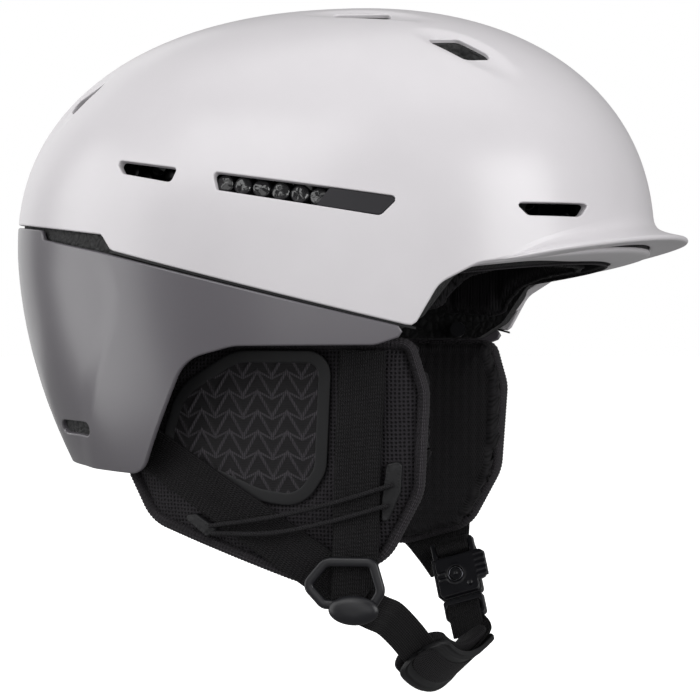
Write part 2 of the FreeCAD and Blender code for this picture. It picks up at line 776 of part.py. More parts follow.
# ---------------------------------------------------------------- divider
def divider_ring():
    """Flat three-cornered ring on the right that both straps pass through."""
    outline = [(-18, 0, 5), (2, 12.5, 6), (14, 12.5, 4), (18, -1, 5), (13, -9, 4), (-8, -8, 5)]
    corners = [(DIVIDER + Vector(x, -DIVIDER_WALL / 2, z), r) for x, z, r in outline]
    face = Part.Face(rounded_wire(corners))
    hole = Part.Face(face.OuterWire.makeOffset2D(-DIVIDER_BAR))
    return face.cut(hole).extrude(Vector(0, DIVIDER_WALL, 0))


def divider_cap():
    """Long round cap on the outer face of the divider, at its foot."""
    centre = DIVIDER + Vector(5.5, -DIVIDER_WALL / 2, -8)
    ellipse = Part.Ellipse(centre, DIVIDER_CAP_LENGTH / 2, DIVIDER_CAP_WIDTH / 2)
    ellipse.rotate(FreeCAD.Placement(centre, FreeCAD.Rotation(Vector(1, 0, 0), 90), Vector(0, 0, 0)))
    return Part.Face(Part.Wire([ellipse.toShape()])).extrude(Vector(0, -DIVIDER_CAP_WALL, 0))


# ---------------------------------------------------------------- chin strap
def chin_pad_stations():
    """Line of the webbing inside the chin pad, a shallow curve under the chin."""
    stations = []
    for k in range(CHIN_PAD_STEPS + 1):
        t = k / CHIN_PAD_STEPS
        sag = CHIN_PAD_SAG * 4 * t * (1 - t)
        centre = CHIN_PAD_RIGHT * (1 - t) + CHIN_PAD_LEFT * t - Vector(0, 0, sag)
        stations.append((centre, CHIN_ACROSS))
    return stations


def chin_frames():
    """Line of the chin webbing from the divider, through the chin pad, to the buckle's ladder."""
    leaving = Vector(0.57, 0, 0.82)
    lead = [
        (CHIN_RIGHT - SWING_AXIS * CHIN_WEB_LEAD, leaving),
        (CHIN_RIGHT + Vector(1.2, 14, -5.0), leaving),
        (CHIN_RIGHT + Vector(3.2, 32, -13.5), leaving),
    ]
    tail = [
        (buckle_point(0, 0, LADDER_END + 1.0), BUCKLE_ACROSS),
        (buckle_point(0, 0, LADDER_START + 3.2), BUCKLE_ACROSS),
    ]
    return frames(lead + chin_pad_stations() + tail), len(lead)


def chin_webbing():
    """Webbing from the divider to the buckle."""
    return ribbon(chin_frames()[0], CHIN_WEB_WIDTH, STRAP_WALL)


def pad_frames():
    """The frames of the chin webbing that lie inside the chin pad."""
    framed, first = chin_frames()
    return framed[first:first + CHIN_PAD_STEPS + 1]


def chin_pad():
    """Soft pad on the chin side of the webbing."""
    away = STRAP_WALL / 2 + SOFT_GAP + CHIN_PAD_WALL / 2
    return ribbon(pad_frames(), CHIN_PAD_WIDTH, CHIN_PAD_WALL, -away)


def chin_pad_tray():
    """Thin moulded backing on the outer side of the webbing."""
    away = STRAP_WALL / 2 + SOFT_GAP + CHIN_TRAY_WALL / 2
    return ribbon(pad_frames(), CHIN_PAD_WIDTH, CHIN_TRAY_WALL, away)


# ---------------------------------------------------------------- buckle
def buckle_axes():
    """The buckle's own directions: across, square to its face, and down along the strap."""
    across = (BUCKLE_ACROSS - BUCKLE_DOWN * BUCKLE_ACROSS.dot(BUCKLE_DOWN)).normalize()
    return across, BUCKLE_DOWN.cross(across), BUCKLE_DOWN


def buckle_point(x, y, z):
    """A point given across, square to, and down the buckle from its bar."""
    across, square, down = buckle_axes()
    return CHIN_LEFT + across * x + square * y + down * z


def on_buckle(shape):
    """A shape drawn about the bar, put in its place on the left straps."""
    across, square, down = buckle_axes()
    origin = CHIN_LEFT
    matrix = FreeCAD.Matrix(
        across.x, square.x, down.x, origin.x,
        across.y, square.y, down.y, origin.y,
        across.z, square.z, down.z, origin.z,
        0, 0, 0, 1,
    )
    return shape.transformed(matrix)


def buckle_base():
    """Upper half of the buckle: a plate with two ears that carry the bar."""
    half = BUCKLE_WIDTH / 2
    plate = box((-half, -BUCKLE_WALL / 2, -EAR_RISE), (half, BUCKLE_WALL / 2, BASE_END))
    opening = box((-half + BUCKLE_EAR, -BUCKLE_WALL, -2 * EAR_RISE), (half - BUCKLE_EAR, BUCKLE_WALL, EAR_OPENING))
    bore = Part.makeCylinder(BUCKLE_BAR_RADIUS, BUCKLE_WIDTH + 2, Vector(-half - 1, 0, 0), Vector(1, 0, 0))
    plate = plate.makeFillet(BASE_FILLET, [e for e in plate.Edges if abs(e.tangentAt(e.FirstParameter).y) > 0.9])
    return on_buckle(plate.cut([opening, bore]))


def buckle_bar():
    """Bar through the buckle's ears that the left straps loop round."""
    length = BUCKLE_WIDTH
    bar = Part.makeCylinder(BUCKLE_BAR_RADIUS, length, Vector(-length / 2, 0, 0), Vector(1, 0, 0))
    return on_buckle(bar)


def buckle_latch():
    """Latch that slides forward off the base, with its grip tab at the front."""
    half = BUCKLE_WIDTH / 2
    y = BUCKLE_WALL / 2 + LATCH_GAP
    top = y + LATCH_WALL
    body = box((-half + 2 * LATCH_INSET, y, LATCH_START), (half - LATCH_INSET, top, BASE_END - LATCH_INSET))
    tab = box((half - LATCH_INSET, y, GRIP_START), (half + GRIP_REACH, top, GRIP_END))
    body = body.fuse(tab).removeSplitter()
    floor = Vector(0, top - MAGNET_WALL, MAGNET_DROP)
    seat = Part.makeCylinder(MAGNET_RADIUS + MAGNET_GAP, LATCH_WALL, floor, Vector(0, 1, 0))
    return on_buckle(body.cut(seat))


def buckle_magnet():
    """Round magnet let into the latch."""
    y = BUCKLE_WALL / 2 + LATCH_GAP + LATCH_WALL - MAGNET_WALL
    return on_buckle(Part.makeCylinder(MAGNET_RADIUS, MAGNET_WALL, Vector(0, y, MAGNET_DROP), Vector(0, 1, 0)))


def buckle_ladder():
    """Two-bar ladder below the buckle that grips the end of the chin webbing."""
    half = LADDER_SLOT / 2
    outer = half + LADDER_RAIL
    frame = box((-outer, -BUCKLE_WALL / 2, LADDER_START), (outer, BUCKLE_WALL / 2, LADDER_END))
    slot = box((-half, -BUCKLE_WALL, LADDER_START + LADDER_BAR), (half, BUCKLE_WALL, LADDER_END - LADDER_BAR))
    return on_buckle(frame.cut(slot))


# ---------------------------------------------------------------- fit cradle
def cradle_band():
    """Rigid band round the nape with a straight arm forward on each side."""
    return layer(CRADLE_OUT, CRADLE_IN).common(side_prism(CRADLE_SIDE, -BEYOND, BEYOND)).cut([dial_bore()])


def dial_bore():
    """Clear hole for the spindle on the dial's axis."""
    x = form_x(DIAL_Z, CRADLE_OUT, -1) + 20
    return Part.makeCylinder(SPINDLE_RADIUS + SPINDLE_CLEARANCE, 60, Vector(x, 0, DIAL_Z), Vector(-1, 0, 0))


def cradle_pad():
    """Soft pad on the head side of the band at the nape."""
    pad = layer(CRADLE_IN + SOFT_GAP, CRADLE_IN + SOFT_GAP + CRADLE_PAD_WALL)
    return pad.common(side_prism(CRADLE_PAD_SIDE, -BEYOND, BEYOND))


def cradle_rails():
    """Rails on the liner, above and below each arm, that the cradle slides between."""
    band = layer(PAD_OUT, CRADLE_IN + 0.8)
    rails = []
    for low in (ARM_TOP_Z + RAIL_GAP, ARM_LOW_Z - RAIL_GAP - RAIL_HEIGHT):
        outline = [(-44, low), (-15, low), (-15, low + RAIL_HEIGHT), (-44, low + RAIL_HEIGHT)]
        rail = band.common(side_prism(outline, 0, -BEYOND))
        rails.append(rail)
        rails.append(mirrored(rail))
    return group(rails)


def dial_housing():
    """Housing on the back of the cradle that the dial winds against."""
    seat_x = form_x(DIAL_Z, CRADLE_OUT, -1)
    back = Vector(-1, 0, 0)
    root = Vector(seat_x + HOUSING_ROOT, 0, DIAL_Z)
    body = Part.makeCylinder(HOUSING_RADIUS, HOUSING_WALL + HOUSING_ROOT, root, back)
    return body.cut([form(CRADLE_OUT - SOFT_GAP / 3), dial_bore()])


def dial_knob():
    """Knob of the dial, with grips round its rim."""
    face_x = form_x(DIAL_Z, CRADLE_OUT, -1) - HOUSING_WALL - DIAL_GAP
    back = Vector(-1, 0, 0)
    knob = Part.makeCylinder(DIAL_RADIUS, DIAL_WALL, Vector(face_x, 0, DIAL_Z), back)
    grips = []
    for k in range(DIAL_GRIPS):
        turn = 2 * math.pi * k / DIAL_GRIPS
        place = Vector(face_x - GRIP_ROOT, DIAL_RADIUS * math.cos(turn), DIAL_Z + DIAL_RADIUS * math.sin(turn))
        grips.append(Part.makeCylinder(DIAL_GRIP_RADIUS, DIAL_WALL, place, back))
    depth = DIAL_WALL - KNOB_FACE
    hole = Part.makeCylinder(SPINDLE_RADIUS + SPINDLE_PRESS_GAP, depth, Vector(face_x, 0, DIAL_Z), back)
    return knob.cut(grips + [hole])


def dial_spindle():
    """Spindle that turns with the knob in the bore of the housing."""
    seat_x = form_x(DIAL_Z, CRADLE_OUT, -1)
    start = Vector(seat_x - SPINDLE_ROOT, 0, DIAL_Z)
    length = HOUSING_WALL + DIAL_GAP + DIAL_WALL - KNOB_FACE - SPINDLE_ROOT
    return Part.makeCylinder(SPINDLE_RADIUS, length, start, Vector(-1, 0, 0))


# ---------------------------------------------------------------- model
def build():
    """Every node of the helmet by name."""
    nodes = {
        "upper_shell": upper_shell(),
        "lower_shell": lower_shell(),
        "seam_gasket": seam_gasket(),
        "foam_liner": foam_liner(),
        "cell_liner": cell_liner(),
        "crown_pad": crown_pad(),
        "brow_pad": brow_pad(),
        "strap_anchors": strap_anchors(),
        "divider_ring": divider_ring(),
        "divider_cap": divider_cap(),
        "chin_webbing": chin_webbing(),
        "chin_pad": chin_pad(),
        "chin_pad_tray": chin_pad_tray(),
        "buckle_base": buckle_base(),
        "buckle_bar": buckle_bar(),
        "buckle_latch": buckle_latch(),
        "buckle_magnet": buckle_magnet(),
        "buckle_ladder": buckle_ladder(),
        "cradle_band": cradle_band(),
        "cradle_pad": cradle_pad(),
        "cradle_rails": cradle_rails(),
        "dial_housing": dial_housing(),
        "dial_knob": dial_knob(),
        "dial_spindle": dial_spindle(),
    }
    for side, name in SIDE_NAMES.items():
        nodes["side_badge_" + name] = side_badge(side)
        nodes["window_cells_" + name] = window_cells(side)
        nodes["ear_pad_inner_" + name] = ear_pad_inner(side)
        nodes["ear_pad_cover_" + name] = ear_pad_cover(side)
        nodes["ear_pad_binding_" + name] = ear_pad_binding(side)
        nodes["ear_window_frame_" + name] = ear_window_frame(side)
        nodes["ear_window_panel_" + name] = ear_window_panel(side)
        nodes["cord_tabs_" + name] = cord_tabs(side)
        nodes["elastic_cords_" + name] = elastic_cords(side)
        nodes["front_strap_" + name] = front_strap(side)
        nodes["rear_strap_" + name] = rear_strap(side)
    return nodes


def main():
    """Build each node and write it to its own file."""
    os.makedirs("parts", exist_ok=True)
    for name, shape in build().items():
        print(name, shape.isValid(), len(shape.Solids), round(shape.Volume), shape.BoundBox)
        shape.exportStep("parts/" + name + ".step")


main()
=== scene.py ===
"""Ski helmet: the detailed visual model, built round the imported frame, in millimetres until it is meshed."""
import logging
import math
from dataclasses import dataclass, field
from enum import Enum
from typing import Callable, Optional, Sequence

import bpy
import numpy as np
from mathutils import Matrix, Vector
from mathutils.geometry import delaunay_2d_cdt
from mathutils.kdtree import KDTree


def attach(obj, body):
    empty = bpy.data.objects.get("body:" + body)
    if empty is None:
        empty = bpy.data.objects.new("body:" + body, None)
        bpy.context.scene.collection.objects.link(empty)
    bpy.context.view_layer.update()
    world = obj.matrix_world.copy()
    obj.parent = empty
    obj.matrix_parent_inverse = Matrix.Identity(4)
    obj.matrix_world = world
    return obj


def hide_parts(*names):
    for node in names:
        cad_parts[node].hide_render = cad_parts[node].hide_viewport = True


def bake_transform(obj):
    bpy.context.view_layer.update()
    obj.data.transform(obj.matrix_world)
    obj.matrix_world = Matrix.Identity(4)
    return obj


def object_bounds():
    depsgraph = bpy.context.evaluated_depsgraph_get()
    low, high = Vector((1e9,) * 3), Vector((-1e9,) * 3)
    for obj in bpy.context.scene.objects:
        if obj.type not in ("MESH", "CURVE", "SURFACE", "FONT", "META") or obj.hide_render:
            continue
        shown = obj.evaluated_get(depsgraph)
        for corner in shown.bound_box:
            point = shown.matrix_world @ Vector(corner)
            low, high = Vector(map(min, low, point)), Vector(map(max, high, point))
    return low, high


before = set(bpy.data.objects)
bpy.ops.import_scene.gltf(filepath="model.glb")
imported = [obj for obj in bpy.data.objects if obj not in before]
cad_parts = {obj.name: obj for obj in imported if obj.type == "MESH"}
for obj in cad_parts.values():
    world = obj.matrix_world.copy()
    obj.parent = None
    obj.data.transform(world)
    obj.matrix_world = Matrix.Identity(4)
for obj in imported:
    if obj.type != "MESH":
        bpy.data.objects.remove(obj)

CAD_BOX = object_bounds()
MM = 0.001
LOG = logging.getLogger("helmet")
MIRROR = np.array([1.0, -1.0, 1.0])
OUTWARD = np.array([0.0, -1.0, 0.0])
WHITE_LIGHT = (1.0, 1.0, 1.0, 1.0)
HALVINGS = 44
Array = np.ndarray
Piece = bpy.types.Object
Socket = bpy.types.NodeSocket
Outline = Sequence[tuple[float, ...]]
Station = tuple[Array, Array]


class Side(Enum):
    """The wearer's side that a piece is on, as the sign of its Y."""

    RIGHT = -1
    LEFT = 1

    @property
    def label(self) -> str:
        """The word that ends the piece's name."""
        return self.name.lower()


class Body(Enum):
    """The bodies of the frame that pieces ride on."""

    SHELL = "shell"
    CRADLE = "cradle"
    CHIN = "chin_strap"
    LATCH = "latch"


# --- vectors and curves
def unit(vectors: Array) -> Array:
    """Vectors scaled to length one, row by row."""
    return vectors / np.maximum(np.linalg.norm(vectors, axis=-1, keepdims=True), 1e-12)


def ease(value: Array, low: float, high: float) -> Array:
    """Smooth step from 0 at low to 1 at high."""
    t = np.clip((np.asarray(value, float) - low) / (high - low), 0.0, 1.0)
    return t * t * (3 - 2 * t)


def turns(count: int) -> Array:
    """Angles evenly round a circle."""
    return np.linspace(0, 2 * math.pi, count, endpoint=False)


def circle(count: int) -> Array:
    """Points evenly round a circle of radius one."""
    t = turns(count)
    return np.stack([np.cos(t), np.sin(t)], axis=1)


def run_of(line: Array) -> Array:
    """Distance along a line at each of its points."""
    return np.concatenate([[0], np.cumsum(np.linalg.norm(np.diff(line, axis=0), axis=1))])


def gap_to(points: Array) -> Callable[[Array], Array]:
    """A function that gives each place's distance to the nearest of some points, in a plane or in space."""
    tree = KDTree(len(points))
    spare = ((0, 0), (0, 3 - points.shape[1]))
    for k, point in enumerate(np.pad(points, spare)):
        tree.insert(point, k)
    tree.balance()
    return lambda places: np.array([tree.find(place)[2] for place in np.pad(places, spare)])


def rounded(outline: Outline, step: float = 0.7) -> Array:
    """Closed outline with an arc at each corner.

    Args:
        outline: corners as (a, b) or (a, b, radius).
        step: longest distance between neighbouring points of the result.

    Returns:
        The points of the outline, evenly spaced, without repeating the first.
    """
    corners = [np.array(c[:2], float) for c in outline]
    radii = [c[2] if len(c) > 2 else 0.0 for c in outline]
    path: list[Array] = []
    for k, point in enumerate(corners):
        before = corners[k - 1] - point
        after = corners[(k + 1) % len(corners)] - point
        lengths = np.linalg.norm(before), np.linalg.norm(after)
        before, after = before / lengths[0], after / lengths[1]
        half = math.acos(np.clip(before @ after, -1, 1)) / 2
        back = min(radii[k] / math.tan(half), 0.48 * lengths[0], 0.48 * lengths[1])
        if back < 0.01:
            path.append(point)
            continue
        fitted = back * math.tan(half)
        centre = point + (before + after) / np.linalg.norm(before + after) * (fitted / math.sin(half))
        first = point + before * back - centre
        last = point + after * back - centre
        turn = math.atan2(first[0] * last[1] - first[1] * last[0], first @ last)
        for t in np.linspace(0, 1, max(4, int(abs(turn) * fitted / step) + 2)):
            c, s = math.cos(turn * t), math.sin(turn * t)
            path.append(centre + np.array([first[0] * c - first[1] * s, first[0] * s + first[1] * c]))
    return resample(np.array(path), step, closed=True)


def resample(points: Array, step: float, closed: bool = False) -> Array:
    """Points evenly spaced along a polyline.

    Args:
        points: the polyline, one point a row.
        step: distance wanted between points.
        closed: whether the last point joins the first.

    Returns:
        The new points. An open line keeps both ends.
    """
    line = np.vstack([points, points[:1]]) if closed else points
    run = run_of(line)
    count = max(3, int(round(run[-1] / step)))
    at = np.linspace(0, run[-1], count, endpoint=False) if closed else np.linspace(0, run[-1], count + 1)
    return np.stack([np.interp(at, run, line[:, k]) for k in range(line.shape[1])], axis=1)


def between(first: Array, last: Array, start: float, end: float, t: Array) -> Array:
    """Straight blend from first at start to last at end."""
    return (end - t) / (end - start) * first + (t - start) / (end - start) * last


def spline(points: Sequence[Sequence[float]], step: float, closed: bool = False) -> Array:
    """Smooth curve through points, by centripetal Catmull-Rom spans, evenly resampled."""
    p = np.array(points, float)
    padded = np.vstack([p[-1:], p, p[:2]]) if closed else np.vstack([2 * p[0] - p[1], p, 2 * p[-1] - p[-2]])
    made = []
    for k in range(len(padded) - 3):
        a, b, c, d = padded[k:k + 4]
        knots = np.cumsum([0] + [max(np.linalg.norm(v), 1e-6) ** 0.5 for v in (b - a, c - b, d - c)])
        t = np.linspace(knots[1], knots[2], 16, endpoint=False)[:, None]
        first = between(a, b, knots[0], knots[1], t)
        middle = between(b, c, knots[1], knots[2], t)
        last = between(c, d, knots[2], knots[3], t)
        low = between(first, middle, knots[0], knots[2], t)
        high = between(middle, last, knots[1], knots[3], t)
        made.append(between(low, high, knots[1], knots[2], t))
    curve = np.vstack(made if closed else made + [p[-1:]])
    return resample(curve, step, closed)


def inside(loop: Array, points: Array) -> Array:
    """Which points lie inside a closed loop in the plane, by crossings."""
    found = np.zeros(len(points), bool)
    x, y = points[:, 0], points[:, 1]
    for (x1, y1), (x2, y2) in zip(loop, np.roll(loop, -1, axis=0)):
        if y1 == y2:
            continue
        crosses = (y1 > y) != (y2 > y)
        found ^= crosses & (x < (x2 - x1) * (y - y1) / (y2 - y1) + x1)
    return found


def loop_tangents(loop: Array) -> Array:
    """Unit tangents of a closed loop."""
    return unit(np.roll(loop, -1, axis=0) - np.roll(loop, 1, axis=0))


def double_area(loop: Array) -> float:
    """Twice the signed area of a closed loop in the plane."""
    ahead = np.roll(loop, -1, axis=0)
    return np.sum(loop[:, 0] * ahead[:, 1] - ahead[:, 0] * loop[:, 1])


def wound(loop: Array, sign: int) -> Array:
    """The loop, turned so that its area in the plane has the sign asked for."""
    return loop if double_area(loop) * sign > 0 else loop[::-1].copy()


def grow_outline(loop: Array, distance: float) -> Array:
    """Closed outline in the plane, moved outward by a distance."""
    tangents = loop_tangents(loop)
    normals = np.stack([tangents[:, 1], -tangents[:, 0]], axis=1) * np.sign(double_area(loop))
    return loop + normals * distance


# --- the helmet's form
@dataclass(frozen=True)
class Form:
    """Closed egg-like form of the outside: superellipse quarters in side view, closed sideways by another."""

    centre_x: float = 7.5
    front: float = 132.0
    rear: float = 146.5
    crown: float = 102.8
    lower: float = 194.0
    half_width: float = 111.0
    front_top: float = 2.28
    rear_top: float = 2.22
    front_low: float = 2.0
    rear_low: float = 1.75
    side_power: float = 2.15

    @property
    def centre(self) -> Array:
        """The point that the form is measured from."""
        return np.array([self.centre_x, 0.0, 0.0])

    def side_gauge(self, x: Array, z: Array, depth: float | Array = 0.0) -> Array:
        """Share of the way from the centre to the side-view outline: 1 on it."""
        dx = np.asarray(x, float) - self.centre_x
        dz = np.asarray(z, float)
        a = np.where(dx > 0, self.front, self.rear) - depth
        h = np.where(dz > 0, self.crown, self.lower) - depth
        top = np.where(dx > 0, self.front_top, self.rear_top)
        low = np.where(dx > 0, self.front_low, self.rear_low)
        n = np.where(dz > 0, top, low)
        return ((np.abs(dx) / a) ** n + (np.abs(dz) / h) ** n) ** (1 / n)

    def gauge(self, points: Array, depth: float | Array = 0.0) -> Array:
        """Share of the way from the centre to the surface: 1 on it."""
        q = self.side_gauge(points[:, 0], points[:, 2], depth)
        side = np.abs(points[:, 1]) / (self.half_width - depth)
        return (q ** self.side_power + side ** self.side_power) ** (1 / self.side_power)

    def to_surface(self, points: Array, depth: float | Array = 0.0) -> Array:
        """Points moved along their rays from the centre onto the surface at a depth."""
        return self.centre + (points - self.centre) / self.gauge(points, depth)[:, None]

    def half_at(self, x: Array, z: Array, depth: float = 0.0) -> Array:
        """Half width of the form at places in side view, 0 outside it."""
        q = np.minimum(self.side_gauge(x, z, depth), 1.0)
        return (self.half_width - depth) * (1 - q ** self.side_power) ** (1 / self.side_power)

    def normals(self, points: Array) -> Array:
        """Outward unit normals of the surface at points on it."""
        reach = 0.02
        slopes = []
        for axis in np.eye(3):
            slopes.append(self.gauge(points + axis * reach) - self.gauge(points - axis * reach))
        return unit(np.stack(slopes, axis=1))

    def plane(self, points: Array) -> Array:
        """Points on the form as places in a plane, by stereographic projection from under the centre."""
        rays = unit(points - self.centre)
        return rays[:, :2] / (1 + rays[:, 2:3])

    def across(self, point: Array, lean: Sequence[float]) -> tuple[Array, Array, Array]:
        """Outward direction at a point on the surface, and two directions square to it and to each other."""
        axis = self.normals(point[None])[0]
        first = unit(np.cross(axis, np.array(lean)))
        return axis, first, np.cross(axis, first)

    def ray_out(self, z: Array, along: Array) -> Array:
        """Surface points at given heights, on level rays from the centre line.

        Args:
            z: heights.
            along: directions of the rays in plan, one (x, y) row each.

        Returns:
            The points.
        """
        def place(reach: Array) -> Array:
            """Points at a reach from the centre line."""
            return np.stack([self.centre_x + along[:, 0] * reach, along[:, 1] * reach, z], axis=1)

        return place(self.furthest(place, np.full(len(z), 200.0)))

    def furthest(self, place: Callable[[Array], Array], high: Array) -> Array:
        """Largest values up to high whose places lie inside the form, by halving."""
        low = np.zeros(len(high))
        for _ in range(HALVINGS):
            middle = (low + high) / 2
            outside = self.gauge(place(middle)) > 1
            high, low = np.where(outside, middle, high), np.where(outside, low, middle)
        return low


FORM = Form()


# --- meshes
@dataclass
class MeshParts:
    """Vertices, faces, texture places and normals gathered for one piece, in millimetres."""

    vertices: list[Array] = field(default_factory=list)
    faces: list[tuple[int, ...]] = field(default_factory=list)
    uvs: list[Array] = field(default_factory=list)
    normals: list[Array] = field(default_factory=list)
    count: int = 0

    def add(self, points: Array, uv: Array, normals: Optional[Array] = None) -> int:
        """Adds vertices and returns the index of the first of them."""
        start = self.count
        self.vertices.append(points)
        self.uvs.append(uv)
        self.normals.append(np.zeros_like(points) if normals is None else normals)
        self.count += len(points)
        return start

    def grid(self, rows: Array, uv: Array, closed_u: bool = False, closed_v: bool = False,
             normals: Optional[Array] = None) -> int:
        """Adds a grid of points as quads.

        Args:
            rows: points, as (rows, columns, 3).
            uv: texture places, as (rows, columns, 2).
            closed_u: whether the last row joins the first.
            closed_v: whether the last column joins the first.
            normals: normals like rows, or None.

        Returns:
            The index of the first vertex.
        """
        nu, nv = rows.shape[:2]
        flat = None if normals is None else normals.reshape(-1, 3)
        start = self.add(rows.reshape(-1, 3), uv.reshape(-1, 2), flat)
        for i in range(nu if closed_u else nu - 1):
            i2 = (i + 1) % nu
            for j in range(nv if closed_v else nv - 1):
                j2 = (j + 1) % nv
                row, next_row = start + i * nv, start + i2 * nv
                self.faces.append((row + j, next_row + j, next_row + j2, row + j2))
        return start

    def cap(self, first: int, count: int, flip: bool = False) -> None:
        """Closes a ring of consecutive vertices with a fan about its middle."""
        ring = np.concatenate(self.vertices)[first:first + count]
        uv = np.concatenate(self.uvs)[first:first + count]
        middle = self.add(ring.mean(axis=0)[None], uv.mean(axis=0)[None])
        for k in range(count):
            a, b = first + k, first + (k + 1) % count
            self.faces.append((middle, b, a) if flip else (middle, a, b))

    def rod(self, rows: Array, uv: Array, flip: bool = False) -> None:
        """Adds a grid whose columns close, with both its ends capped; flip turns the caps over."""
        width = rows.shape[1]
        start = self.grid(rows, uv, closed_v=True)
        self.cap(start, width, flip)
        self.cap(start + (len(rows) - 1) * width, width, not flip)

    def merge(self, other: "MeshParts") -> None:
        """Adds another set of parts to this one."""
        shift = self.count
        self.vertices += other.vertices
        self.uvs += other.uvs
        self.normals += other.normals
        self.faces += [tuple(i + shift for i in f) for f in other.faces]
        self.count += other.count

    def mirrored(self) -> "MeshParts":
        """The same parts on the other side of the mid-plane."""
        made = MeshParts(count=self.count)
        made.vertices = [v * MIRROR for v in self.vertices]
        made.normals = [n * MIRROR for n in self.normals]
        made.uvs = list(self.uvs)
        made.faces = [tuple(reversed(f)) for f in self.faces]
        return made

    def on(self, side: Side) -> "MeshParts":
        """Parts drawn on the right, on the side asked for."""
        return self if side is Side.RIGHT else self.mirrored()

    def build(self, name: str, smooth: bool = True, own_normals: bool = False) -> Piece:
        """Makes the object.

        Args:
            name: the piece's name.
            smooth: whether its faces are shaded smooth.
            own_normals: whether the gathered normals are set on the mesh.

        Returns:
            The object, linked to the scene.
        """
        points = np.concatenate(self.vertices) * MM
        mesh = bpy.data.meshes.new(name)
        mesh.from_pydata(points.tolist(), [], self.faces)
        uv = np.concatenate(self.uvs) * MM
        layer = mesh.uv_layers.new(name="weave")
        index = np.zeros(len(mesh.loops), np.int32)
        mesh.loops.foreach_get("vertex_index", index)
        layer.data.foreach_set("uv", uv[index].astype(np.float32).ravel())
        mesh.validate()
        mesh.update()
        if smooth:
            mesh.shade_smooth()
        if own_normals:
            mesh.normals_split_custom_set_from_vertices(unit(np.concatenate(self.normals)).tolist())
        made = bpy.data.objects.new(name, mesh)
        bpy.context.scene.collection.objects.link(made)
        return made


def steady_frames(path: Array, up: Array, closed: bool = False) -> tuple[Array, Array, Array]:
    """Tangents, sideways and outward directions along a path.

    Args:
        path: points of the path.
        up: outward direction wanted at each point, or one for them all; it is squared to the path.
        closed: whether the path is a loop.

    Returns:
        Tangent, side and outward unit vectors, one row a point.
    """
    if closed:
        tangents = loop_tangents(path)
    else:
        ends = np.vstack([path[1:2] - path[:1], path[2:] - path[:-2], path[-1:] - path[-2:-1]])
        tangents = unit(ends)
    out = unit(up - tangents * np.sum(up * tangents, axis=1, keepdims=True))
    return tangents, np.cross(tangents, out), out


def sweep(path: Array, up: Array, profile: Callable[[int, float], Array], closed: bool = False) -> MeshParts:
    """Solid swept along a path.

    Args:
        path: points of the path.
        up: outward direction at each point, or one for them all.
        profile: gives the section's (side, out) points for an index and a distance along the path.
        closed: whether the path is a loop.

    Returns:
        The swept mesh, capped if it is open.
    """
    _, side, out = steady_frames(path, up, closed)
    run = run_of(path)
    rows, uvs = [], []
    for k, centre in enumerate(path):
        section = profile(k, float(run[k]))
        rows.append(centre + section[:, :1] * side[k] + section[:, 1:2] * out[k])
        uvs.append(np.stack([np.full(len(section), run[k]), run_of(section)], axis=1))
    parts = MeshParts()
    grid = np.array(rows)
    if closed:
        parts.grid(grid, np.array(uvs), closed_u=True, closed_v=True)
    else:
        parts.rod(grid, np.array(uvs))
    return parts


def ellipse_section(a: float, b: float, count: int = 14, power: float = 2.0) -> Array:
    """Closed superellipse section with half sizes a and b."""
    t = turns(count)
    c, s = np.cos(t), np.sin(t)
    bend = 2 / power
    return np.stack([a * np.sign(c) * np.abs(c) ** bend, b * np.sign(s) * np.abs(s) ** bend], axis=1)


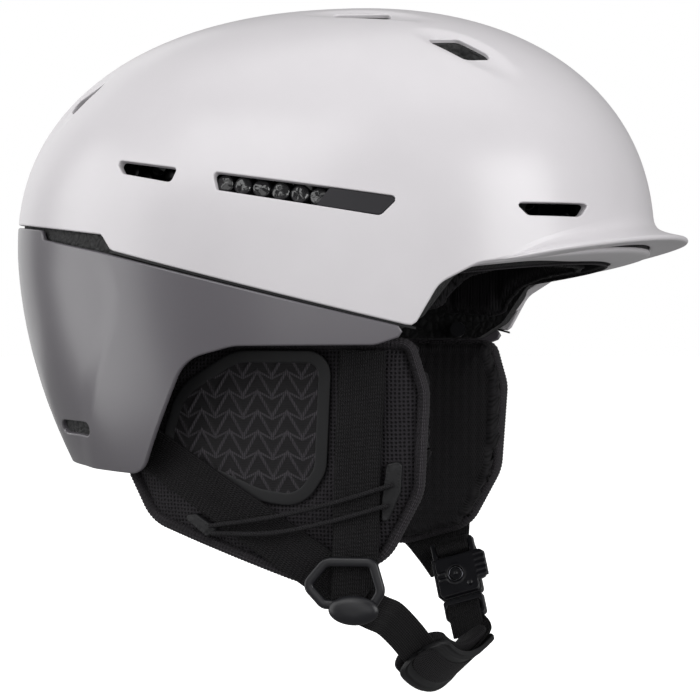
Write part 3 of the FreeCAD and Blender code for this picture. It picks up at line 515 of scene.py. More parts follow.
@dataclass
class Sheet:
    """A patch of surface drawn in a plane and lifted into place, with its thickness and rounded edges.

    Args:
        lift: maps places in the plane to points in space.
        outer: the outer loop in the plane.
        holes: loops of the openings in the plane.
        seeds: places inside for vertices.
    """

    lift: Callable[[Array], Array]
    outer: Array
    seeds: Array
    holes: list[Array] = field(default_factory=list)
    clearance: float = 0.6
    spacing: float = 2.0

    def places(self) -> tuple[Array, list[tuple[int, int]]]:
        """Every vertex in the plane, loops first, and where each loop starts and ends."""
        loops = [wound(self.outer, 1)] + [wound(hole, -1) for hole in self.holes]
        spans, total = [], 0
        for loop in loops:
            spans.append((total, total + len(loop)))
            total += len(loop)
        edge = np.concatenate(loops)
        keep = inside(self.outer, self.seeds)
        for hole in self.holes:
            keep &= ~inside(hole, self.seeds)
        seeds = self.seeds[keep]
        far = gap_to(self.lift(edge))(self.lift(seeds)) > self.clearance * self.spacing
        return np.concatenate([edge, seeds[far]]), spans

    def triangles(self, places: Array, spans: list[tuple[int, int]]) -> Array:
        """Triangles between the loops, as vertex indices, wound so that their plane area is positive."""
        edges = []
        for first, last in spans:
            edges += [(k, k + 1) for k in range(first, last - 1)] + [(last - 1, first)]
        made = delaunay_2d_cdt([Vector(p) for p in places], edges, [], 0, 1e-9, True)
        origin = [ids[0] if ids else -1 for ids in made[3]]
        faces = np.array([[origin[i] for i in f] for f in made[2]])
        faces = faces[(faces >= 0).all(axis=1)]
        middle = places[faces].mean(axis=1)
        keep = inside(places[spans[0][0]:spans[0][1]], middle)
        for first, last in spans[1:]:
            keep &= ~inside(places[first:last], middle)
        faces = faces[keep]
        a, b, c = (places[faces[:, k]] for k in range(3))
        area = (b[:, 0] - a[:, 0]) * (c[:, 1] - a[:, 1]) - (b[:, 1] - a[:, 1]) * (c[:, 0] - a[:, 0])
        faces[area < 0] = faces[area < 0][:, ::-1]
        return faces

    def normals(self, places: Array, reach: float) -> Array:
        """Normals of the lifted surface, from differences in the plane."""
        du = np.array([reach, 0.0])
        dv = np.array([0.0, reach])
        along_u = self.lift(places + du) - self.lift(places - du)
        along_v = self.lift(places + dv) - self.lift(places - dv)
        return unit(np.cross(along_u, along_v))

    def solid(self, wall: float, edge: float, reach: float,
              rims: Optional[dict[int, Callable[[Array, Array, Array], Array]]] = None,
              duct: float = 0.0, texture: Optional[Callable[[Array], Array]] = None) -> MeshParts:
        """Closed solid: the surface, its rounded edges, its walls and its back.

        Args:
            wall: thickness.
            edge: radius of the rounded edges.
            reach: half distance used for normals, in the plane's units.
            rims: for a loop's index, a function of (points, normals, outward) that gives the edge's rows.
            duct: how much deeper than the wall the openings' sides go.
            texture: texture places of vertices from their points, or the plane's places if None.

        Returns:
            The mesh parts.
        """
        places, spans = self.places()
        faces = self.triangles(places, spans)
        points = self.lift(places)
        normals = self.normals(places, reach)
        uv = places if texture is None else texture(points)
        parts = MeshParts()
        parts.add(points, uv, normals)
        parts.faces += [tuple(int(i) for i in f) for f in faces]
        back_points = points - normals * wall
        back = parts.add(back_points, uv, -normals)
        for number, (first, last) in enumerate(spans):
            loop, up = points[first:last], normals[first:last]
            outward = unit(np.cross(loop_tangents(loop), up))
            maker = (rims or {}).get(number)
            if maker is not None:
                rows = maker(loop, up, outward)
            else:
                rows = edge_rows(loop, up, outward, edge, wall + (duct if number else 0.0), wall)
            ring = np.concatenate([loop[None], rows], axis=0)
            step = np.gradient(ring, axis=0)
            along = np.tile(loop_tangents(loop), (len(ring), 1, 1))
            facing = unit(np.cross(step, along))
            run = run_of(ring.mean(axis=1))
            strip_uv = uv[first:last][None] + np.stack([np.zeros_like(run), -run], axis=1)[:, None]
            start = parts.grid(ring[1:-1], strip_uv[1:-1], closed_v=True, normals=facing[1:-1])
            count = last - first
            back_ids = back + first
            back_points[first:last] = ring[-1]
            inner = [start + (len(ring) - 3) * count + k for k in range(count)]
            for k in range(count):
                k2 = (k + 1) % count
                parts.faces.append((first + k, start + k, start + k2, first + k2))
                parts.faces.append((inner[k], back_ids + k, back_ids + k2, inner[k2]))
        parts.faces += [tuple(int(i) + back for i in f[::-1]) for f in faces]
        return parts


def edge_rows(loop: Array, up: Array, outward: Array, radius: float, deep: float, wall: float) -> Array:
    """Rows of a rounded edge: over the edge, down the side and back under to the inner surface."""
    rows = []
    for turn in np.linspace(0, math.pi / 2, 6)[1:]:
        rows.append(loop + outward * radius * math.sin(turn) - up * radius * (1 - math.cos(turn)))
    soft = min(radius, 0.35 * wall)
    for share in (0.5, 1.0):
        rows.append(loop + outward * radius - up * (radius + (deep - soft - radius) * share))
    for turn in np.linspace(0, math.pi / 2, 4)[1:]:
        sideways, down = radius - soft * (1 - math.cos(turn)), deep - soft + soft * math.sin(turn)
        rows.append(loop + outward * sideways - up * down)
    if deep > wall + 0.1:
        rows.append(loop + outward * (radius - 1.1) - up * deep)
    rows.append(loop + outward * (radius - 1.3 if deep > wall + 0.1 else 0.0) - up * wall)
    return np.array(rows)


def plane_grid(outline: Array, spacing: float) -> Array:
    """Staggered grid of places that covers an outline."""
    low, high = outline.min(axis=0), outline.max(axis=0)
    rows = np.arange(low[1], high[1], spacing * 0.866)
    made = []
    for k, y in enumerate(rows):
        x = np.arange(low[0] + (k % 2) * spacing / 2, high[0], spacing)
        made.append(np.stack([x, np.full(len(x), y)], axis=1))
    return np.concatenate(made)


def plane_sheet(lift: Callable[[Array], Array], loop: Array, spacing: float, holes: Sequence[Array] = ()) -> Sheet:
    """Sheet over a loop in the plane, with evenly spread vertices."""
    return Sheet(lift, loop, plane_grid(loop, spacing), list(holes), spacing=spacing)


def sphere_seeds(spacing: float, radius: float = 120.0) -> Array:
    """Evenly spread directions all round, as points on a sphere about the form's centre."""
    count = int(4 * math.pi * (radius / spacing) ** 2 / 0.866)
    k = np.arange(count) + 0.5
    z = 1 - 2 * k / count
    turn = math.pi * (1 + 5 ** 0.5) * k
    ring = np.sqrt(1 - z * z)
    return FORM.centre + radius * np.stack([ring * np.cos(turn), ring * np.sin(turn), z], axis=1)


# --- finishes
class Nodes:
    """Short ways to lay out a material's nodes."""

    def __init__(self, name: str) -> None:
        """Starts a node material with its shader."""
        self.material = bpy.data.materials.new(name)
        self.material.use_nodes = True
        self.tree = self.material.node_tree
        self.shader = self.tree.nodes["Principled BSDF"]

    def add(self, kind: str, sockets: dict[str | int, object], **settings: object) -> bpy.types.Node:
        """Adds a node.

        Args:
            kind: its type.
            sockets: values or sources of its input sockets, by name or number.
            settings: its own properties.

        Returns:
            The node.
        """
        node = self.tree.nodes.new(kind)
        for key, value in settings.items():
            setattr(node, key, value)
        for key, value in sockets.items():
            if isinstance(value, Socket):
                self.tree.links.new(value, node.inputs[key])
            else:
                node.inputs[key].default_value = value
        return node

    def coords(self, woven: bool) -> Socket:
        """Texture places: the piece's own weave map, or its place in the frame."""
        return self.add("ShaderNodeTexCoord", {}).outputs["UV" if woven else "Object"]

    def noise(self, place: Socket, scale: float, detail: float = 3.0,
              rough: float = 0.5) -> Socket:
        """Noise of a given scale."""
        sockets = {"Scale": scale, "Detail": detail, "Roughness": rough, "Vector": place}
        return self.add("ShaderNodeTexNoise", sockets).outputs["Fac"]

    def waves(self, place: Socket, pitch: float, axis: str, distortion: float = 0.0,
              turn: float = 0.0) -> Socket:
        """Evenly spaced ridges with a pitch in metres."""
        if turn:
            turned = self.add("ShaderNodeMapping", {"Rotation": (0.0, 0.0, turn), "Vector": place})
            place = turned.outputs["Vector"]
        sockets = {"Scale": math.pi / 10 / pitch, "Distortion": distortion, "Detail": 0.0, "Vector": place}
        return self.add("ShaderNodeTexWave", sockets, bands_direction=axis, wave_profile="SIN").outputs["Fac"]

    def cells(self, place: Socket, size: float, feature: str = "DISTANCE_TO_EDGE",
              spread: float = 1.0) -> Socket:
        """Distances in a cell pattern with a cell size in metres."""
        sockets = {"Scale": 1 / size, "Randomness": spread, "Vector": place}
        return self.add("ShaderNodeTexVoronoi", sockets, feature=feature).outputs["Distance"]

    def maths(self, kind: str, first: object, second: object) -> Socket:
        """Arithmetic on two sockets or numbers."""
        return self.add("ShaderNodeMath", {0: first, 1: second}, operation=kind).outputs[0]

    def ramp(self, value: Socket, stops: Sequence[tuple[float, Sequence[float]]]) -> Socket:
        """Colours along a value."""
        node = self.add("ShaderNodeValToRGB", {"Fac": value})
        elements = node.color_ramp.elements
        while len(elements) < len(stops):
            elements.new(0.5)
        for element, (at, colour) in zip(elements, stops):
            element.position = at
            element.color = (*colour, 1.0)
        return node.outputs["Color"]

    def span(self, value: Socket, low: float, high: float, to_low: float,
             to_high: float) -> Socket:
        """A value's range mapped to another."""
        return self.add("ShaderNodeMapRange", dict(enumerate((value, low, high, to_low, to_high)))).outputs[0]

    def bump(self, height: Socket, distance: float, strength: float = 1.0,
             under: Optional[Socket] = None) -> Socket:
        """Relief from a height, over another relief if one is given."""
        sockets = {"Strength": strength, "Distance": distance, "Height": height}
        if under is not None:
            sockets["Normal"] = under
        return self.add("ShaderNodeBump", sockets).outputs["Normal"]

    def dress(self, colour: Socket, rough: Socket, normal: Socket,
              **constants: object) -> bpy.types.Material:
        """Links colour, roughness and relief to the shader and sets its plain values."""
        for source, socket in ((colour, "Base Color"), (rough, "Roughness"), (normal, "Normal")):
            self.tree.links.new(source, self.shader.inputs[socket])
        for key, value in constants.items():
            self.shader.inputs[key.replace("_", " ")].default_value = value
        return self.material


def shade(colour: Sequence[float], share: float) -> tuple[float, float, float]:
    """A colour made darker or lighter by a share."""
    return tuple(min(1.0, c * share) for c in colour)


@dataclass(frozen=True)
class MouldedFinish:
    """Moulded plastic or rubber: faint mottling, uneven gloss and a fine moulded grain."""

    name: str
    colour: tuple[float, float, float]
    rough: float = 0.35
    spread: float = 0.05
    grain: float = 0.0008
    relief: float = 0.00002
    coat: float = 0.0
    coat_rough: float = 0.1
    specular: float = 0.5
    metallic: float = 0.0

    def make(self) -> bpy.types.Material:
        """Builds the material."""
        n = Nodes(self.name)
        place = n.coords(False)
        mottle = n.noise(place, 45.0, 4.0)
        colour = n.ramp(mottle, [(0.3, shade(self.colour, 0.985)), (0.7, shade(self.colour, 1.012))])
        smear = n.noise(place, 120.0, 5.0, 0.6)
        rough = n.span(smear, 0.25, 0.75, self.rough - self.spread, self.rough + self.spread)
        fine = n.noise(place, 1 / self.grain, 2.0)
        normal = n.bump(fine, self.relief, 0.6)
        return n.dress(colour, rough, normal, Coat_Weight=self.coat, Coat_Roughness=self.coat_rough,
                       Specular_IOR_Level=self.specular, Metallic=self.metallic)


@dataclass(frozen=True)
class FoamFinish:
    """Expanded foam: packed beads, with painted shade in the seams between them and a painted highlight on each bead's
    dome.
    """

    name: str
    colour: tuple[float, float, float]
    bead: float = 0.0034

    def make(self) -> bpy.types.Material:
        """Builds the material."""
        n = Nodes(self.name)
        place = n.coords(False)
        seam = n.cells(place, self.bead)
        # Painted shade in the seams and painted highlight on the bead domes, keyed to the same value as the dome
        # relief.
        dark, light = shade(self.colour, 0.35), shade(self.colour, 1.25)
        colour = n.ramp(seam, [(0.0, dark), (0.16, self.colour), (0.6, light)])
        rough = n.span(n.noise(place, 900.0), 0.3, 0.7, 0.62, 0.82)
        dome = n.span(seam, 0.0, 0.35, 0.0, 1.0)
        normal = n.bump(n.noise(place, 2600.0, 2.0), 0.00004, 0.5, n.bump(dome, 0.0005, 0.8))
        return n.dress(colour, rough, normal)


class Weave(Enum):
    """How a fabric's threads lie."""

    KNIT = "knit"
    MESH = "mesh"
    TWILL = "twill"
    BRAID = "braid"


@dataclass(frozen=True)
class FabricFinish:
    """Woven or knitted fabric, with its threads at their real pitch; its colour is painted darker in the valleys
    between threads as shade and lighter on their tops as highlight.
    """

    name: str
    colour: tuple[float, float, float]
    weave: Weave = Weave.KNIT
    pitch: float = 0.0011
    relief: float = 0.00018
    # How far the painted thread shade and highlight, and the random tone, move the colour from the base.
    thread_shade_and_tone: float = 0.55
    sheen: float = 0.02
    rough: float = 0.68
    specular: float = 0.14

    def height(self, n: Nodes, place: Socket) -> Socket:
        """Height of the threads, 0 to 1."""
        if self.weave is Weave.MESH:
            hole = n.cells(place, self.pitch, "F1", 0.12)
            return n.span(hole, 0.12, 0.42, 0.0, 1.0)
        if self.weave is Weave.TWILL:
            warp = n.waves(place, self.pitch, "Y")
            slant = n.waves(place, self.pitch * 0.9, "X", turn=0.9)
            return n.maths("MULTIPLY", warp, n.maths("ADD", 0.35, n.maths("MULTIPLY", slant, 0.65)))
        turn = 0.62 if self.weave is Weave.BRAID else 0.42
        first = n.waves(place, self.pitch, "X", turn=turn)
        second = n.waves(place, self.pitch, "X", turn=-turn)
        return n.maths("MAXIMUM", first, second)

    def make(self) -> bpy.types.Material:
        """Builds the material."""
        n = Nodes(self.name)
        place = n.coords(True)
        height = self.height(n, place)
        patchy = n.noise(n.coords(False), 60.0, 4.0)
        # Painted shade in the thread valleys and painted highlight on the thread tops, from the thread height, mixed
        # with random patches of real tone.
        painted_shade_and_tone = n.maths("ADD", n.maths("MULTIPLY", height, 0.8), n.maths("MULTIPLY", patchy, 0.3))
        low, high = shade(self.colour, 1 - self.thread_shade_and_tone), shade(self.colour, 1 + self.thread_shade_and_tone)
        colour = n.ramp(painted_shade_and_tone, [(0.15, low), (0.55, self.colour), (0.95, high)])
        fuzz = n.noise(place, 2.2 / self.pitch, 3.0)
        rough = n.span(fuzz, 0.2, 0.8, self.rough - 0.08, min(1.0, self.rough + 0.08))
        normal = n.bump(fuzz, self.relief * 0.35, 0.5, n.bump(height, self.relief, 0.9))
        return n.dress(colour, rough, normal, Sheen_Weight=self.sheen, Sheen_Roughness=0.5,
                       Specular_IOR_Level=self.specular)


@dataclass(frozen=True)
class ZigzagFinish:
    """Dark woven ground with steep and shallow zigzag lines, in lighter, dotted yarn."""

    name: str
    colour: tuple[float, float, float]
    yarn: tuple[float, float, float]
    across: float = 0.0125
    down: float = 0.0080
    rises: tuple[float, float] = (0.0100, 0.0030)
    line: float = 0.00042
    dot: float = 0.0009

    def stroke(self, n: Nodes, place: Socket, rise: float) -> Socket:
        """Rows of one zigzag line, 1 on the line."""
        parts = n.add("ShaderNodeSeparateXYZ", {0: place})
        share = n.maths("FRACT", n.maths("DIVIDE", parts.outputs[0], self.across), 0.0)
        leg = n.maths("ABSOLUTE", n.maths("SUBTRACT", share, 0.5), 0.0)
        height = n.maths("ADD", parts.outputs[1], n.maths("MULTIPLY", leg, 2 * rise))
        phase = n.maths("FRACT", n.maths("DIVIDE", height, self.down), 0.0)
        away = n.maths("ABSOLUTE", n.maths("SUBTRACT", phase, 0.5), 0.0)
        half = self.line / self.down * math.hypot(1.0, 4 * rise / self.across) / 1.4
        return n.span(away, half * 0.7, half * 1.5, 1.0, 0.0)

    def make(self) -> bpy.types.Material:
        """Builds the material."""
        n = Nodes(self.name)
        place = n.coords(True)
        lines = n.maths("MAXIMUM", *(self.stroke(n, place, rise) for rise in self.rises))
        dots = n.span(n.waves(place, self.dot, "X"), 0.2, 0.7, 0.35, 1.0)
        yarn = n.maths("MULTIPLY", lines, dots)
        colour = n.ramp(yarn, [(0.0, self.colour), (0.5, shade(self.yarn, 0.55)), (1.0, self.yarn)])
        stitch = n.waves(place, 0.0007, "Y", 0.4)
        rough = n.span(stitch, 0.0, 1.0, 0.68, 0.85)
        normal = n.bump(stitch, 0.00012, 0.7, n.bump(yarn, 0.0003, 0.8))
        return n.dress(colour, rough, normal, Specular_IOR_Level=0.25)


class Finish(Enum):
    """Every finish of the helmet, with a short label for it."""

    WHITE = "white_shell"
    GREY = "grey_shell"
    RUBBER = "black_rubber"
    BADGE = "badge"
    FOAM = "foam"
    CELLS = "cells"
    PAD = "pad_fabric"
    MESH = "mesh_fabric"
    WAFFLE = "waffle_fabric"
    BINDING = "binding"
    CHEVRON = "chevron_fabric"
    WEBBING = "webbing"
    CORD = "cord"
    BUCKLE = "buckle"
    MAGNET = "magnet"

    @property
    def material(self) -> bpy.types.Material:
        """The finish's material, made once."""
        return bpy.data.materials.get(RECIPES[self].name) or RECIPES[self].make()

    def put_on(self, piece: Piece) -> None:
        """Gives a piece this finish."""
        piece.data.materials.clear()
        piece.data.materials.append(self.material)


RECIPES = {
    Finish.WHITE: MouldedFinish("satin_white_shell", (0.625, 0.604, 0.625), 0.34, 0.015, 0.0012, 6e-6, 0.25, 0.22),
    Finish.GREY: MouldedFinish("gloss_grey_shell", (0.104, 0.097, 0.109), 0.34, 0.012, 0.0012, 5e-6, 0.5, 0.24),
    Finish.RUBBER: MouldedFinish("matt_black_rubber", (0.009, 0.009, 0.010), 0.52, 0.06, 0.0004, 3e-5, specular=0.3),
    Finish.BADGE: MouldedFinish("charcoal_badge", (0.017, 0.016, 0.019), 0.42, 0.04, 0.0005, 1e-5, specular=0.3),
    Finish.FOAM: FoamFinish("black_foam", (0.008, 0.008, 0.009)),
    Finish.CELLS: MouldedFinish("glossy_black_cells", (0.008, 0.008, 0.009), 0.17, 0.04, 0.0040, 3e-5, 0.4, 0.08),
    Finish.PAD: FabricFinish("lining_knit", (0.006, 0.0055, 0.0063), Weave.KNIT, 0.0013, 0.0003, 0.7),
    Finish.MESH: FabricFinish("spacer_mesh", (0.010, 0.009, 0.0105), Weave.MESH, 0.0016, 0.0005, 0.9),
    Finish.WAFFLE: FabricFinish("waffle_knit", (0.007, 0.0065, 0.0073), Weave.KNIT, 0.0010, 0.0002, 0.7),
    Finish.BINDING: FabricFinish("edge_binding", (0.034, 0.031, 0.035), Weave.TWILL, 0.0008, 0.0002, 0.7),
    Finish.CHEVRON: ZigzagFinish("zigzag_weave", (0.0080, 0.0073, 0.0084), (0.047, 0.043, 0.049)),
    Finish.WEBBING: FabricFinish("black_webbing", (0.0075, 0.007, 0.0078), Weave.TWILL, 0.0009, 0.0003, 0.9),
    Finish.CORD: FabricFinish("braided_cord", (0.009, 0.0085, 0.0095), Weave.BRAID, 0.0009, 0.0003, 0.8),
    Finish.BUCKLE: MouldedFinish("black_buckle", (0.009, 0.009, 0.011), 0.36, 0.05, 0.0005, 2e-5, specular=0.4),
    Finish.MAGNET: MouldedFinish("dark_plated_steel", (0.09, 0.09, 0.10), 0.22, 0.06, 0.0006, 1e-5, metallic=1.0),
}


def dress(piece: Piece, finish: Finish, body: Optional[Body], replaced: Sequence[str] = ()) -> None:
    """Gives a piece its finish, its body and the nodes that it stands for, and reports it.

    Args:
        piece: the object.
        finish: its finish.
        body: the body it rides on, or None to leave it without one.
        replaced: the frame's nodes that it stands for.
    """
    finish.put_on(piece)
    if body is not None:
        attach(piece, body.value)
    if replaced:
        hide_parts(*replaced)
    LOG.info("%s: %d faces, %s", piece.name, len(piece.data.polygons), finish.value)


def carry_over(node: str, finish: Finish, bevel: float = 0.0) -> None:
    """Keeps a node of the frame, with its finish and softened edges.

    Args:
        node: the node's name.
        finish: its finish.
        bevel: width of its softened edges in millimetres.
    """
    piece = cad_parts[node]
    finish.put_on(piece)
    if bevel:
        soften = piece.modifiers.new("soft_edges", "BEVEL")
        soften.width = bevel * MM
        soften.segments = 3
        soften.limit_method = "ANGLE"
        soften.angle_limit = math.radians(35)
        soften.harden_normals = True
    LOG.info("%s: carried over, %s", node, finish.value)


# --- shells
def unfold(places: Array) -> Array:
    """Places in the form's plane as points on its surface."""
    square = np.sum(places * places, axis=1, keepdims=True)
    rays = np.hstack([2 * places, 1 - square]) / (1 + square)
    return FORM.to_surface(FORM.centre + rays)


def side_view(points: Array) -> Array:
    """Texture places of points, as seen from the side."""
    return points[:, [0, 2]]


def side_loop(outline: Outline, side: Side, grow: float = 0.0) -> Array:
    """A side-view outline as points on the form's surface."""
    flat = rounded(outline, 0.8)
    if grow:
        flat = grow_outline(flat, grow)
    y = FORM.half_at(flat[:, 0], flat[:, 1]) * side.value
    return np.stack([flat[:, 0], y, flat[:, 1]], axis=1)


def top_loop(outline: Outline, side: Side, grow: float = 0.0) -> Array:
    """A plan-view outline, drawn on the right, as points on top of the form."""
    flat = grow_outline(rounded(outline, 0.8), grow)
    z = FORM.furthest(lambda height: np.column_stack([flat, height]), np.full(len(flat), FORM.crown))
    return np.stack([flat[:, 0], -flat[:, 1] * side.value, z], axis=1)


def cut_line(outline: Outline, inset: float, step: float = 2.0, depth: float = 0.0) -> Array:
    """Where a side-view outline cuts a layer of the form, as a loop over both sides.

    Args:
        outline: closed side-view outline that runs outside the form at the front or the back.
        inset: how far the line is drawn in from the outline.
        step: spacing of the points.
        depth: depth of the layer.

    Returns:
        Points from the front round the right to the back and on round the left.
    """
    flat = grow_outline(rounded(outline, 0.25), -inset)
    within = FORM.side_gauge(flat[:, 0], flat[:, 1], depth) < 1
    first = int(np.argmax(within & ~np.roll(within, 1)))
    flat, within = np.roll(flat, -first, axis=0), np.roll(within, -first)
    half = flat[:int(np.argmin(within))]
    if half[0, 0] < half[-1, 0]:
        half = half[::-1]
    right = np.stack([half[:, 0], -FORM.half_at(half[:, 0], half[:, 1], depth), half[:, 1]], axis=1)
    right[0, 1] = right[-1, 1] = 0.0
    right = FORM.to_surface(resample(right, step), depth)
    left = right[-2:0:-1] * MIRROR
    return np.vstack([right, left])


def rows_through(controls: Array, count: int) -> Array:
    """Smooth rows through control rows, evenly by control, without the first."""
    padded = np.concatenate([2 * controls[:1] - controls[1:2], controls, 2 * controls[-1:] - controls[-2:-1]])
    rows = []
    for at in np.linspace(0, len(controls) - 1, count + 1)[1:]:
        k = min(int(at), len(controls) - 2)
        t = at - k
        p0, p1, p2, p3 = padded[k:k + 4]
        rows.append(0.5 * (2 * p1 + (p2 - p0) * t + (2 * p0 - 5 * p1 + 4 * p2 - p3) * t * t
                           + (3 * p1 - p0 - 3 * p2 + p3) * t ** 3))
    return np.array(rows)


@dataclass
class Brim:
    """The short brim: how its section changes from the middle to the temples."""

    reach: float = 13.5
    least_reach: float = 0.8
    wall: float = 2.6
    sweep: float = math.radians(56)
    plain_x: float = 150.0
    plain_z: float = -2.0
    plain_fall: float = 8.6 / 66
    end_gap: float = 0.8
    middle_gap: float = 4.8
    root_rise: float = 6.5
    least_rise: float = 1.5
    lift: float = 3.6
    rows: int = 34

    def lean(self, points: Array) -> Array:
        """How far round from the middle each point is, in radians."""
        share = np.clip(np.abs(points[:, 1]) / FORM.half_width, 0, 1)
        return np.arcsin(share ** (FORM.side_power / 2)) * np.sign(points[:, 1])

    def fade(self, points: Array) -> Array:
        """1 in the middle of the brim, 0 at its ends and behind them."""
        share = np.clip(np.abs(self.lean(points)) / self.sweep, 0, 1)
        return np.where(points[:, 0] > FORM.centre_x, np.maximum(np.cos(share * math.pi / 2), 0), 0.0)

    def tip(self, points: Array) -> Array:
        """Height of the tip: it follows the plain edge back, and stands a little over it in the middle."""
        plain = self.plain_z - self.plain_fall * np.clip(self.plain_x - points[:, 0], 0, 90)
        return plain + self.end_gap + self.middle_gap * self.fade(points) ** 1.2

    def raised(self, loop: Array) -> Array:
        """The shell's lower edge with its front part lifted to the brim's root."""
        fade = self.fade(loop)
        root = self.tip(loop) + self.least_rise + (self.root_rise + self.lift) * fade
        z = loop[:, 2] + (root - loop[:, 2]) * ease(fade, 0.0, 0.35)
        along = unit(loop[:, :2] - FORM.centre[:2])
        lifted = FORM.ray_out(z, along)
        return np.where(fade[:, None] > 1e-6, lifted, loop)

    def lowered(self, loop: Array, inset: float) -> Array:
        """The raised edge taken back down to the plain line that the edge follows behind the brim."""
        z = self.plain_z - self.plain_fall * np.clip(self.plain_x - loop[:, 0], 0, 90) + inset
        along = unit(loop[:, :2] - FORM.centre[:2])
        return np.where(self.fade(loop)[:, None] > 1e-6, FORM.ray_out(np.minimum(z, loop[:, 2]), along), loop)

    def edge(self, loop: Array, up: Array, outward: Array, plain: Array, wall: float) -> Array:
        """Rows from the root over the brim and back inside, easing into the plain edge at the temples."""
        fade = self.fade(loop)
        tip = self.tip(loop)
        depth = self.least_reach + self.reach * fade ** 1.3
        rise = self.least_rise + self.root_rise * fade
        along = unit(loop[:, :2] - FORM.centre[:2])
        lean = self.lean(loop)
        root = np.stack([FORM.front * np.cos(lean) ** (2 / FORM.side_power) / FORM.front ** 2,
                         loop[:, 1] / FORM.half_width ** 2, np.zeros(len(loop))], axis=1)
        out = unit(root)
        half = self.wall / 2
        profile = [
            (0.00 * depth + 0.15, tip + half + rise * 0.95),
            (0.05 * depth + 0.1, tip + half + rise * 0.68),
            (0.16 * depth, tip + half + rise * 0.44),
            (0.36 * depth, tip + half + rise * 0.25),
            (0.66 * depth, tip + half + rise * 0.09),
            (depth - 1.1, tip + half * 0.92),
            (depth - 0.3, tip + half * 0.55),
            (depth, tip - 0.1),
            (depth - 0.35, tip - half * 0.65),
            (depth - 1.3, tip - half * 0.98),
            (0.62 * depth, tip - half - 0.25),
            (0.25 * depth - 0.3, tip - half - 0.75),
            (0.05 * depth - 0.9, tip - half - 1.25),
            (0 * depth - 1.9, tip - half - 1.15),
            (0 * depth - 2.25, tip - half + 0.4),
        ]
        controls = [loop]
        for outset, z in profile:
            controls.append(FORM.ray_out(z, along) + out * outset[:, None])
        controls.append(loop - up * wall)
        blade = rows_through(np.array(controls), self.rows)
        line = np.concatenate([loop[None], plain[:-1], (loop - up * wall)[None]])
        at = np.linspace(0, len(line) - 1, self.rows + 1)[1:]
        low = np.minimum(at.astype(int), len(line) - 2)
        part = (at - low)[:, None, None]
        edge = line[low] * (1 - part) + line[low + 1] * part
        mix = ease(fade, 0.02, 0.42)[None, :, None]
        return edge * (1 - mix) + blade * mix


